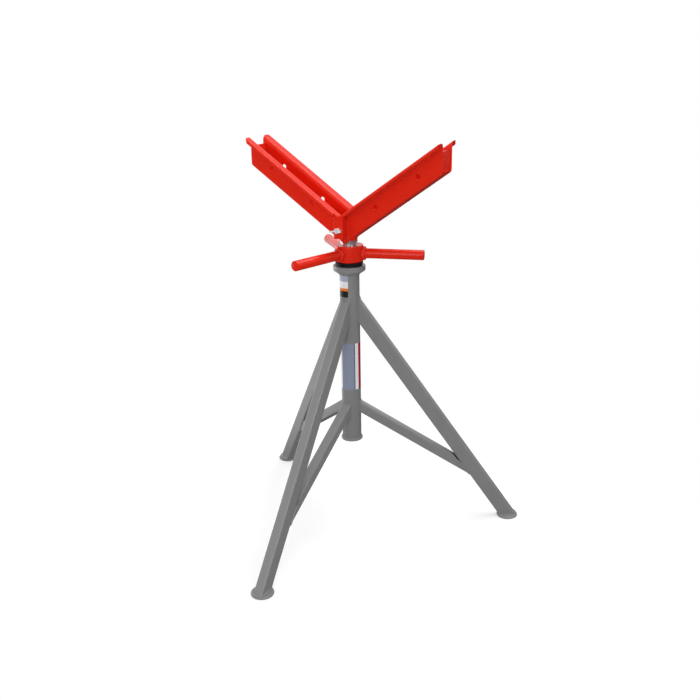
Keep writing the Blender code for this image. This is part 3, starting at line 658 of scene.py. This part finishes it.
def bar_mesh(name, turn):
    """A solid bar from the hub's side to its end."""
    bm = bmesh.new()
    soft = BAR_CHAMFER * BAR_SOFTENED_SHARE
    rings = [bar_ring(BAR_R, hub_r=HUB_R + SEAT_GAP), bar_ring(BAR_R, along=BAR_REACH - BAR_CHAMFER),
             bar_ring(BAR_R - soft, along=BAR_REACH - soft), bar_ring(BAR_R - BAR_CHAMFER, along=BAR_REACH)]
    rows = [[bm.verts.new(point) for point in ring] for ring in rings]
    for one, other in zip(rows, rows[1:]):
        for i in range(len(one)):
            bm.faces.new((one[i - 1], one[i], other[i], other[i - 1]))
    bm.faces.new(rows[0])
    bm.faces.new(rows[-1])
    bmesh.ops.recalc_face_normals(bm, faces=bm.faces)
    bm.transform(Matrix.Rotation(turn, 4, "Z"))
    return shaded(as_mesh(bm, name))


bar_runs = []
for number, turn in enumerate(bar_turns, 1):
    finish(f"bar_{number}", bar_mesh(f"bar_{number}", turn), RED_ENAMEL, "nut", "red_enamel",
           f"handle_bar_{number}")
    ring = bar_ring(BAR_R - BAR_WELD_SINK, hub_r=HUB_R + BAR_WELD_OFF)
    bar_runs.append(([Matrix.Rotation(turn, 4, "Z") @ point for point in ring], True))
finish("bar_welds", weld("bar_welds", bar_runs, BAR_WELD_R, RED_ENAMEL, 4), RED_ENAMEL, "nut", "red_enamel")

# Lifting screw: 1.75 in bar with a trapezoidal thread of 6.35 mm pitch, a keyway milled down its
# far side, and a plain grooved stub on top for the head. Bare steel, turned bright and oiled.
THREAD_PITCH = 6.35 * MM
THREAD_DEPTH = 3.2 * MM
THREAD_FLAT_SHARE = 0.3707
THREAD_STEPS = 64
THREAD_MERGE = 0.01 * MM
KEYWAY_FLOOR = 18.225 * MM
KEYWAY_WIDTH = 8.8 * MM
KEYWAY_BOTTOM = 325.9 * MM
STUB_R = 16 * MM
GROOVE_R = 13 * MM
GROOVE_HALF = 4.8 * MM
SHOULDER_RISE = 12.7 * MM
BOLT_RISE = 32.2 * MM
SCREW_CHAMFER = 1.5 * MM
OVERRUN = 8 * MM
SHOULDER_Z = hub_high.z + SHOULDER_RISE
BOLT_Z = SHOULDER_Z + BOLT_RISE
screw_low, screw_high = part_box("lifting_screw")


def thread_tree():
    """Geometry Nodes that wind one ridge's section into a thread: a grid of steps by the ridge's corners."""
    tree = bpy.data.node_groups.new("screw_thread", "GeometryNodeTree")
    keys = input_keys(tree, {"Geometry": "Geometry", "Pitch": "Float", "Root": "Float", "Depth": "Float",
                             "Start": "Float", "Turns": "Int", "Steps": "Int", "Finish": "Material"})
    given = add_node(tree, "NodeGroupInput").outputs
    corners = 5
    values = {label: given[label] for label in ("Pitch", "Root", "Depth", "Start", "Turns", "Steps")}
    values["index"] = add_node(tree, "GeometryNodeInputIndex")
    for name, operation, *parts in (
            ("all steps", "MULTIPLY", "Turns", "Steps"),
            ("columns", "ADD", "all steps", 1.0),
            ("corner", "MODULO", "index", corners),
            ("place", "ADD", "index", 0.5),
            ("row", "DIVIDE", "place", corners),
            ("column", "FLOOR", "row"),
            ("turned", "DIVIDE", "column", "Steps"),
            ("corner place", "ADD", "corner", 0.5),
            ("pair", "DIVIDE", "corner place", 2.0),
            ("half", "FLOOR", "pair"),
            ("odd", "MODULO", "corner", 2.0),
            ("flat", "MULTIPLY", "odd", THREAD_FLAT_SHARE),
            ("half share", "MULTIPLY", "half", 0.5),
            ("share", "ADD", "half share", "flat"),
            ("on crest", "MODULO", "half", 2.0),
            ("rise", "MULTIPLY", "Depth", "on crest"),
            ("radius", "ADD", "Root", "rise"),
            ("all turns", "ADD", "turned", "share"),
            ("climb", "MULTIPLY", "Pitch", "all turns"),
            ("Z", "ADD", "Start", "climb"),
            ("angle", "MULTIPLY", "turned", 2 * math.pi),
            ("cosine", "COSINE", "angle"),
            ("X", "MULTIPLY", "radius", "cosine"),
            ("sine", "SINE", "angle"),
            ("Y", "MULTIPLY", "radius", "sine")):
        inputs = {i: values.get(part, part) for i, part in enumerate(parts)}
        values[name] = add_node(tree, "ShaderNodeMath", inputs, operation=operation)
    grid = add_node(tree, "GeometryNodeMeshGrid", {"Vertices X": values["columns"], "Vertices Y": corners})
    place = add_node(tree, "ShaderNodeCombineXYZ", {axis: values[axis] for axis in "XYZ"})
    wound = add_node(tree, "GeometryNodeSetPosition", {"Geometry": grid, "Position": place})
    joined = add_node(tree, "GeometryNodeMergeByDistance", {"Geometry": wound, "Distance": THREAD_MERGE})
    ending(tree, joined, given["Finish"], "Thread")
    return tree, keys


THREAD_TREE, THREAD_KEYS = thread_tree()


def shaped(mesh, steps):
    """A mesh after Booleans with each cutter's mesh."""
    obj = placed(mesh.name, mesh)
    cutters = []
    for operation, cutter_mesh in steps:
        cutter = placed(cutter_mesh.name, cutter_mesh)
        cut = obj.modifiers.new("cut", "BOOLEAN")
        cut.operation = operation
        cut.object = cutter
        cutters.append(cutter)
    result = baked(obj)
    for cutter in cutters:
        bpy.data.objects.remove(cutter)
    return result


def prism(name, outline, low, high):
    """A flat outline in X and Y, extruded between two heights."""
    bm = bmesh.new()
    floor_face = bm.faces.new([bm.verts.new((x, y, low)) for x, y in outline])
    raised = bmesh.ops.extrude_face_region(bm, geom=[floor_face])["geom"]
    upper = [part for part in raised if isinstance(part, bmesh.types.BMVert)]
    bmesh.ops.translate(bm, verts=upper, vec=(0, 0, high - low))
    bmesh.ops.recalc_face_normals(bm, faces=bm.faces)
    return as_mesh(bm, name)


SCREW_STEEL = machined_steel("turned_screw_steel", "#dcdcde", roughness=0.22, mark=0.6 * MM,
                             mark_depth=0.01 * MM, stretch=(0.1, 0.1, 1), metal=0.9)
thread_start = screw_low.z - 2 * THREAD_PITCH
thread_turns = math.ceil((SHOULDER_Z - thread_start) / THREAD_PITCH) + 2
thread = grown(bpy.data.meshes.new("thread"), THREAD_TREE, THREAD_KEYS, {
    "Pitch": THREAD_PITCH, "Root": SCREW_R - THREAD_DEPTH, "Depth": THREAD_DEPTH, "Start": thread_start,
    "Turns": thread_turns, "Steps": THREAD_STEPS, "Finish": SCREW_STEEL})
bm = bmesh.new()
bm.from_mesh(thread)
ends = bmesh.ops.holes_fill(bm, edges=[e for e in bm.edges if e.is_boundary])["faces"]
bmesh.ops.poke(bm, faces=ends)
bmesh.ops.recalc_face_normals(bm, faces=bm.faces)
bm.to_mesh(thread)
bm.free()
blank = lathe("screw_blank", [
    (0, SHOULDER_Z), (SCREW_R - SCREW_CHAMFER * 2, SHOULDER_Z),
    (SCREW_R + SCREW_CHAMFER, SHOULDER_Z - SCREW_CHAMFER * 1.5),
    (SCREW_R + SCREW_CHAMFER, screw_low.z + SCREW_CHAMFER * 3),
    (SCREW_R - SCREW_CHAMFER * 2, screw_low.z), (0, screw_low.z)])
stub = lathe("screw_stub", [
    (0, screw_high.z), (STUB_R - SCREW_CHAMFER, screw_high.z), (STUB_R, screw_high.z - SCREW_CHAMFER),
    (STUB_R, BOLT_Z + GROOVE_HALF), (GROOVE_R, BOLT_Z + GROOVE_HALF), (GROOVE_R, BOLT_Z - GROOVE_HALF),
    (STUB_R, BOLT_Z - GROOVE_HALF), (STUB_R, SHOULDER_Z - OVERRUN), (0, SHOULDER_Z - OVERRUN)])
half_way = KEYWAY_WIDTH / 2
way_out = SCREW_R + OVERRUN
way = [(-half_way, KEYWAY_FLOOR), (half_way, KEYWAY_FLOOR), (half_way, way_out), (-half_way, way_out)]
keyway = prism("keyway", way, KEYWAY_BOTTOM, SHOULDER_Z + OVERRUN)
screw = shaped(thread, [("INTERSECT", blank), ("DIFFERENCE", keyway), ("UNION", stub)])
finish("threaded_screw", shaded(screw, sharp_deg=30), SCREW_STEEL, "screw", "screw_steel", "lifting_screw")

# Arms of the V head: two channels pressed from 4 mm sheet, with wide lips turned out and their
# edges turned down, drilled through for a roller's bolts, mitred and welded at the middle.
ARM_SLOPE = math.radians(35)
ARM_REACH = 260 * MM
SHEET = 4 * MM
CHANNEL_WIDTH = 62 * MM
CHANNEL_DEPTH = 58.5 * MM
LIPS_WIDTH = 116 * MM
LIP_RETURN = 8 * MM
RETURN_BEND_R = 4.8 * MM
LIP_BEND_R = 11.7 * MM
WEB_BEND_R = 6 * MM
WALL_CORNER_R = 8 * MM
LIP_CORNER_R = 8 * MM
ARM_HOLE_R = 6.25 * MM
ARM_HOLES = (108 * MM, 243.6 * MM)
SHEAR_EDGE = 0.5 * MM
ARM_RISE = 6.9 * MM
HOLE_REACH = 48 * MM
POST_LAP = 3.2 * MM
BOLT_WAY_R = 4.4 * MM
ROD_STEPS = 48
ARM_BOTTOM_Z = hub_high.z + ARM_RISE
LIP_PLANE_Z = ARM_BOTTOM_Z + CHANNEL_DEPTH / math.cos(ARM_SLOPE)
ALONG_ARM = Matrix.Translation((0, 0, LIP_PLANE_Z)) @ Matrix.Rotation(-ARM_SLOPE, 4, "Y")
FORWARD = Matrix.Rotation(math.pi / 2, 4, "X")


def arm_section():
    """The pressed section as one closed outline, with its two sheared edges rounded."""
    lip_y, wall_y = (LIPS_WIDTH - SHEET) / 2, (CHANNEL_WIDTH - SHEET) / 2
    top, floor_z = -SHEET / 2, SHEET / 2 - CHANNEL_DEPTH
    corners = [(-lip_y, -LIP_RETURN), (-lip_y, top), (-wall_y, top), (-wall_y, floor_z),
               (wall_y, floor_z), (wall_y, top), (lip_y, top), (lip_y, -LIP_RETURN)]
    bends = [r - SHEET / 2 for r in (RETURN_BEND_R, LIP_BEND_R, WEB_BEND_R)]
    line = rounded(corners, [0] + bends + bends[::-1] + [0], steps=10)
    sides = ([], [])
    for i, here in enumerate(line):
        along = line[min(i + 1, len(line) - 1)] - line[max(i - 1, 0)]
        across = Vector((-along.y, along.x)).normalized() * SHEET / 2
        sides[0].append(here + across)
        sides[1].append(here - across)
    outline = sides[0] + sides[1][::-1]
    radii = [0] * len(outline)
    for corner in (0, len(line) - 1, len(line), len(outline) - 1):
        radii[corner] = SHEAR_EDGE
    return rounded(outline, radii, steps=3)


def arm_reach(y, z):
    """Where a line of the section starts at the mitre and stops at the open end, along the arm."""
    slant = z * math.sin(ARM_SLOPE)
    first = (SEAT_GAP / 2 + slant) / math.cos(ARM_SLOPE)
    last = (ARM_REACH + slant) / math.cos(ARM_SLOPE)
    above_floor = z + CHANNEL_DEPTH
    drawn_back = WALL_CORNER_R * (1 - math.sin(ARM_SLOPE))
    if above_floor < drawn_back:
        centre = (ARM_REACH - CHANNEL_DEPTH * math.sin(ARM_SLOPE) - drawn_back) / math.cos(ARM_SLOPE)
        last = centre + math.sqrt(max(WALL_CORNER_R ** 2 - (above_floor - WALL_CORNER_R) ** 2, 0))
    past = abs(y) - (LIPS_WIDTH / 2 - LIP_CORNER_R)
    if past > 0:
        last -= LIP_CORNER_R - math.sqrt(max(LIP_CORNER_R ** 2 - past ** 2, 0))
    return first, last


def arm_blank():
    """The section swept along the arm; rows at both ends draw in to round the cut edges."""
    section = arm_section()
    count = len(section)
    outward = []
    for i in range(count):
        along = section[(i + 1) % count] - section[i - 1]
        outward.append(Vector((-along.y, along.x)).normalized())
    bm = bmesh.new()
    rings = []
    for end in (0, 1):
        rows = []
        for a in (0, math.pi / 6, math.pi / 3, math.pi / 2):
            inset, back = SHEAR_EDGE * (1 - math.cos(a)), SHEAR_EDGE * (1 - math.sin(a))
            rows.append([bm.verts.new((arm_reach(*here)[end] + (1 - 2 * end) * back, *(here - out * inset)))
                         for here, out in zip(section, outward)])
        rings += rows if end else rows[::-1]
    for one, other in zip(rings, rings[1:]):
        for i in range(count):
            bm.faces.new((one[i - 1], one[i], other[i], other[i - 1]))
    for ring in (rings[0], rings[-1]):
        for i in range(count // 2 - 1):
            bm.faces.new((ring[i], ring[i + 1], ring[count - 2 - i], ring[count - 1 - i]))
    bmesh.ops.recalc_face_normals(bm, faces=bm.faces)
    bm.transform(ALONG_ARM)
    return as_mesh(bm, "arm_blank")


def rod(name, radius, low, high, place):
    """A round cutter between two heights, turned into place."""
    mesh = lathe(name, [(0, high), (radius, high), (radius, low), (0, low)], ROD_STEPS)
    mesh.transform(place)
    return mesh


def evened(mesh):
    """Smooth shading whose normals follow the larger faces, so that flats stay flat beside roundings."""
    obj = placed(mesh.name, shaded(mesh, sharp_deg=50))
    even = obj.modifiers.new("even", "WEIGHTED_NORMAL")
    even.keep_sharp = True
    return baked(obj)


holes = []
for along in ARM_HOLES:
    middle = (along - CHANNEL_DEPTH / 2 * math.tan(ARM_SLOPE), 0, -CHANNEL_DEPTH / 2)
    place = ALONG_ARM @ Matrix.Translation(middle) @ FORWARD
    holes.append(("DIFFERENCE", rod("arm_hole", ARM_HOLE_R, -CHANNEL_WIDTH, CHANNEL_WIDTH, place)))
socket_hole = rod("socket_hole", NUT_BORE_R, hub_high.z, SHOULDER_Z + HOLE_REACH, Matrix.Identity(4))
holes.append(("DIFFERENCE", socket_hole))
arm = shaped(arm_blank(), holes)
half_lips = LIPS_WIDTH / 2 + OVERRUN
post_low, post_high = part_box("spine_post")
post_back = post_low.y + POST_LAP
post_side = post_high.x + SEAT_GAP
post_way = [(-post_side, -half_lips), (post_side, -half_lips),
            (post_side, post_back), (-post_side, post_back)]
at_bolt = Matrix.Translation((0, 0, BOLT_Z)) @ FORWARD
for name, node, turn in (("pressed_arm_right", "right_arm", 0), ("pressed_arm_left", "left_arm", math.pi)):
    mesh = arm.copy()
    mesh.transform(Matrix.Rotation(turn, 4, "Z"))
    cuts = [("DIFFERENCE", prism("post_way", post_way, SHOULDER_Z, LIP_PLANE_Z + CHANNEL_DEPTH)),
            ("DIFFERENCE", rod("bolt_way", BOLT_WAY_R, GROOVE_R, half_lips, at_bolt))]
    finish(name, evened(shaped(mesh, cuts)), RED_ENAMEL, "head", "red_enamel", node)

# Head socket: a thick-walled steel collar welded under the arms' joint, bored to turn on the
# screw's stub and enamelled with the head.
SOCKET_EDGE = 0.8 * MM
socket_low, socket_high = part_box("head_socket")
socket_section = ring_section(STUB_R + RUN_GAP, socket_high.x, socket_low.z, socket_high.z,
                              *[SOCKET_EDGE] * 4)
socket = lathe("swivel_socket", socket_section)
finish("swivel_socket", socket, RED_ENAMEL, "head", "red_enamel", "head_socket")

# Spine post: a short 1 in square tube welded upright in front of the arms' joint and cut to a V
# under their lips. It carries the wing bolt's thread.
SPINE_EDGE = 0.4 * MM
FLAT_ANGLE = math.radians(0.5)
SHARP_ANGLE = math.radians(40)


def dressed(node, width):
    """A CAD node's own shape with its loose triangles merged and its sharp edges rounded a little."""
    mesh = frame["nodes"][node].data.copy()
    bm = bmesh.new()
    bm.from_mesh(mesh)
    bmesh.ops.remove_doubles(bm, verts=bm.verts, dist=MERGE)
    bmesh.ops.dissolve_limit(bm, angle_limit=FLAT_ANGLE, verts=bm.verts, edges=bm.edges)
    bm.to_mesh(mesh)
    bm.free()
    obj = placed(mesh.name, mesh)
    ease = obj.modifiers.new("ease", "BEVEL")
    ease.width = width
    ease.segments = 2
    ease.limit_method = "ANGLE"
    ease.angle_limit = SHARP_ANGLE
    ease.miter_outer = "MITER_ARC"
    return evened(baked(obj))


finish("spine", dressed("spine_post", SPINE_EDGE), RED_ENAMEL, "head", "red_enamel", "spine_post")

# Welds of the head: down both sides of the post, across the mitre inside the channels, round the
# socket under the arms, and a lump where the mitre's lowest point was closed.
WALL_Y = CHANNEL_WIDTH / 2
HEAD_WELD_R = 2.1 * MM
POST_WELD_SINK = 0.5 * MM
POST_WELD_CLEAR = 6 * MM
POST_WELD_STEP = 1 * MM
LUMP_SINK = 1.5 * MM
LUMP_SHARES = [0.7 + 0.03 * k for k in range(11)]
clear_steps = round(2 * POST_WELD_CLEAR / POST_WELD_STEP)
post_steps = int((LIP_PLANE_Z - SHOULDER_Z) / POST_WELD_STEP) - clear_steps
run_z = [SHOULDER_Z + POST_WELD_CLEAR + k * POST_WELD_STEP for k in range(post_steps)]
head_runs = []
for sign in (-1, 1):
    head_runs.append(([Vector((sign * post_high.x, POST_WELD_SINK - WALL_Y, z)) for z in run_z], False))
whole_section = arm_section()
inner_side = whole_section[:len(whole_section) // 2]
seam = [Vector((0, y, LIP_PLANE_Z + z / math.cos(ARM_SLOPE))) for y, z in inner_side if y > post_back]
head_runs.append((seam, False))
for sign in (-1, 1):
    lump_end = (WALL_Y - LUMP_SINK) * sign
    head_runs.append(([Vector((0, lump_end * share, ARM_BOTTOM_Z)) for share in LUMP_SHARES], False))
socket_ring = []
for point in circle_run(socket_high.x, ARM_BOTTOM_Z):
    point.z += abs(point.x) * math.tan(ARM_SLOPE)
    socket_ring.append(point)
head_runs.append((socket_ring, True))
head_beads = weld("head_welds", head_runs, HEAD_WELD_R, RED_ENAMEL, 5)
finish("head_welds", head_beads, RED_ENAMEL, "head", "red_enamel")

# End plates: a piece of the same 4 mm sheet, welded across each channel just inside its open end to
# stiffen it.
for side in ("right", "left"):
    node = f"{side}_end_plate"
    finish(f"{side}_plate", dressed(node, SHEAR_EDGE), RED_ENAMEL, "head", "red_enamel", node)

# Wing bolt: cast wings and a turned shank in one, in bright zinc plate, which is pale with soft
# highlights. It screws through the post and socket, and its point stands in the stub's groove.
WING_EDGE = 0.7 * MM
ZINC = machined_steel("bright_zinc_plate", "#f4f6f7", roughness=0.4, mark=1.2 * MM, mark_depth=0.01 * MM,
                      stretch=(1, 1, 1), metal=0.55)
finish("zinc_wing_bolt", dressed("wing_bolt", WING_EDGE), ZINC, "lock", "zinc_plate", "wing_bolt")

# Floor, backdrop, lamps and camera. The floor is a matt sweep that takes a faint shadow near the
# feet; for the camera it fades to the backdrop's white further out, so no horizon shows. Behind the
# stand, floor and backdrop are white in its gloss too, and the room on the camera's side is dimmer.
CAMERA_TURN = math.radians(27.4)
FLOOR_HALF = 12
FADE_START = 0.55
FADE_END = 1.1
FLOOR_LIFT = 0.5
FLOOR_TONE = "#cccccc"
FLOOR_GLOSS_TONE = "#3a3a3a"
ROOM_LIGHT = 0.38
ROOM_GLOSS = 0.55
LEFT_WHITE = (0.1, 0.6)
BACK_WHITE = (0, 0.5)
BACKDROP_WAY = (0, 0.966, -0.26)
BACKDROP_WHITE = (0.5, 0.85)
spin = Matrix.Rotation(CAMERA_TURN, 4, "Z")
bm = bmesh.new()
bmesh.ops.create_grid(bm, x_segments=1, y_segments=1, size=FLOOR_HALF)
floor = placed("floor", as_mesh(bm, "floor"))


def behind(tree, place, way, low, high):
    """How far a point or a direction lies one way from the stand, as a share from a low to a high value."""
    reach = add_node(tree, "ShaderNodeVectorMath", {0: place, 1: spin @ Vector(way)}, operation="DOT_PRODUCT")
    return add_node(tree, "ShaderNodeMapRange", {"Value": reach, "From Min": low, "From Max": high},
                    interpolation_type="SMOOTHSTEP")


material, tree, place = new_material("white_sweep")
away = add_node(tree, "ShaderNodeVectorMath", {0: place}, operation="LENGTH")
fade = add_node(tree, "ShaderNodeMapRange", {"Value": away, "From Min": FADE_START, "From Max": FADE_END},
                interpolation_type="SMOOTHSTEP")
rays = add_node(tree, "ShaderNodeLightPath").outputs
tone = add_node(tree, "ShaderNodeMix", {"Factor": rays["Is Glossy Ray"], "A": linear(FLOOR_TONE),
                                        "B": linear(FLOOR_GLOSS_TONE)}, data_type="RGBA")
matt = add_node(tree, "ShaderNodeBsdfDiffuse", {"Color": tone})
lift = add_node(tree, "ShaderNodeMath", {0: rays["Is Camera Ray"], 1: FLOOR_LIFT}, operation="MULTIPLY")
glow = add_node(tree, "ShaderNodeEmission", {"Strength": lift})
lifted = add_node(tree, "ShaderNodeAddShader", {0: matt, 1: glow})
plain = add_node(tree, "ShaderNodeEmission", {"Strength": 1.0})
seen_share = add_node(tree, "ShaderNodeMath", {0: rays["Is Camera Ray"], 1: fade}, operation="MULTIPLY")
to_left = behind(tree, place, (-1, 0, 0), *LEFT_WHITE)
to_back = behind(tree, place, (0, 1, 0), *BACK_WHITE)
corner = add_node(tree, "ShaderNodeMath", {0: to_left, 1: to_back}, operation="MULTIPLY")
gloss_share = add_node(tree, "ShaderNodeMath", {0: rays["Is Glossy Ray"], 1: corner}, operation="MULTIPLY")
share = add_node(tree, "ShaderNodeMath", {0: seen_share, 1: gloss_share}, operation="MAXIMUM")
mixed = add_node(tree, "ShaderNodeMixShader", {0: share, 1: lifted, 2: plain})
add_node(tree, "ShaderNodeOutputMaterial", {"Surface": mixed})
floor.data.materials.append(material)

world = bpy.data.worlds.new("studio")
bpy.context.scene.world = world
world.use_nodes = True
tree = world.node_tree
tree.nodes.clear()
seen = add_node(tree, "ShaderNodeLightPath").outputs
facing = add_node(tree, "ShaderNodeTexCoord").outputs["Generated"]
backdrop = behind(tree, facing, BACKDROP_WAY, *BACKDROP_WHITE)
room = add_node(tree, "ShaderNodeMapRange", {"Value": backdrop, "To Min": ROOM_GLOSS, "To Max": 1.0})
level = add_node(tree, "ShaderNodeMapRange", {"Value": seen["Is Glossy Ray"], "To Min": ROOM_LIGHT,
                                              "To Max": room})
direct = add_node(tree, "ShaderNodeMath", {0: seen["Is Camera Ray"], 1: seen["Is Transmission Ray"]},
                  operation="MAXIMUM")
strength = add_node(tree, "ShaderNodeMapRange", {"Value": direct, "To Min": level, "To Max": 1.0})
sky = add_node(tree, "ShaderNodeBackground", {"Color": (1, 1, 1, 1), "Strength": strength})
add_node(tree, "ShaderNodeOutputWorld", {"Surface": sky})

for name, power, size, place, aim, lights, gleams in (
        ("side_softbox", 12, 2.0, (-2.7, -1.2, 1.5), (0, 0, 0.6), True, False),
        ("front_softbox", 31, 2.0, (-0.2, -3.0, 1.5), (0, 0, 0.6), True, True),
        ("back_softbox", 28, 1.6, (-2.5, 1.6, 0.9), (0, 0, 0.5), True, True),
        ("top_softbox", 56, 2.2, (0.9, 0.2, 3.1), (0, 0, 0.6), True, True),
        ("edge_card", 22, 1.2, (2.0, -2.4, 1.6), (0, 0, 0.5), False, True)):
    lamp = bpy.data.lights.new(name, "AREA")
    lamp.energy = power
    lamp.size = size
    holder = placed(name, lamp)
    holder.visible_diffuse = lights
    holder.visible_glossy = gleams
    holder.location = spin @ Vector(place)
    holder.rotation_mode = "QUATERNION"
    holder.rotation_quaternion = (spin @ Vector(aim) - holder.location).to_track_quat("-Z", "Y")

# Camera: where the photograph's camera stood, from its fit to the stand's edges.
CAMERA_AWAY = 2163.06 * MM
CAMERA_HEIGHT = 1230.01 * MM
CAMERA_YAW = math.radians(0.05)
CAMERA_DOWN = math.radians(18.843)
CAMERA_ROLL = math.radians(-0.957)
SENSOR_WIDTH_MM = 36
LENS_MM = 44.641
camera_data = bpy.data.cameras.new("camera")
camera_data.sensor_width = SENSOR_WIDTH_MM
camera_data.lens = LENS_MM
camera = placed("camera", camera_data)
stand_off = spin @ Vector((0, -CAMERA_AWAY, CAMERA_HEIGHT))
camera.matrix_world = (Matrix.Translation(stand_off) @ Matrix.Rotation(CAMERA_TURN + CAMERA_YAW, 4, "Z")
                       @ Matrix.Rotation(math.pi / 2 - CAMERA_DOWN, 4, "X")
                       @ Matrix.Rotation(CAMERA_ROLL, 4, "Z"))
bpy.context.scene.camera = camera
bpy.context.scene.view_settings.view_transform = "Standard"
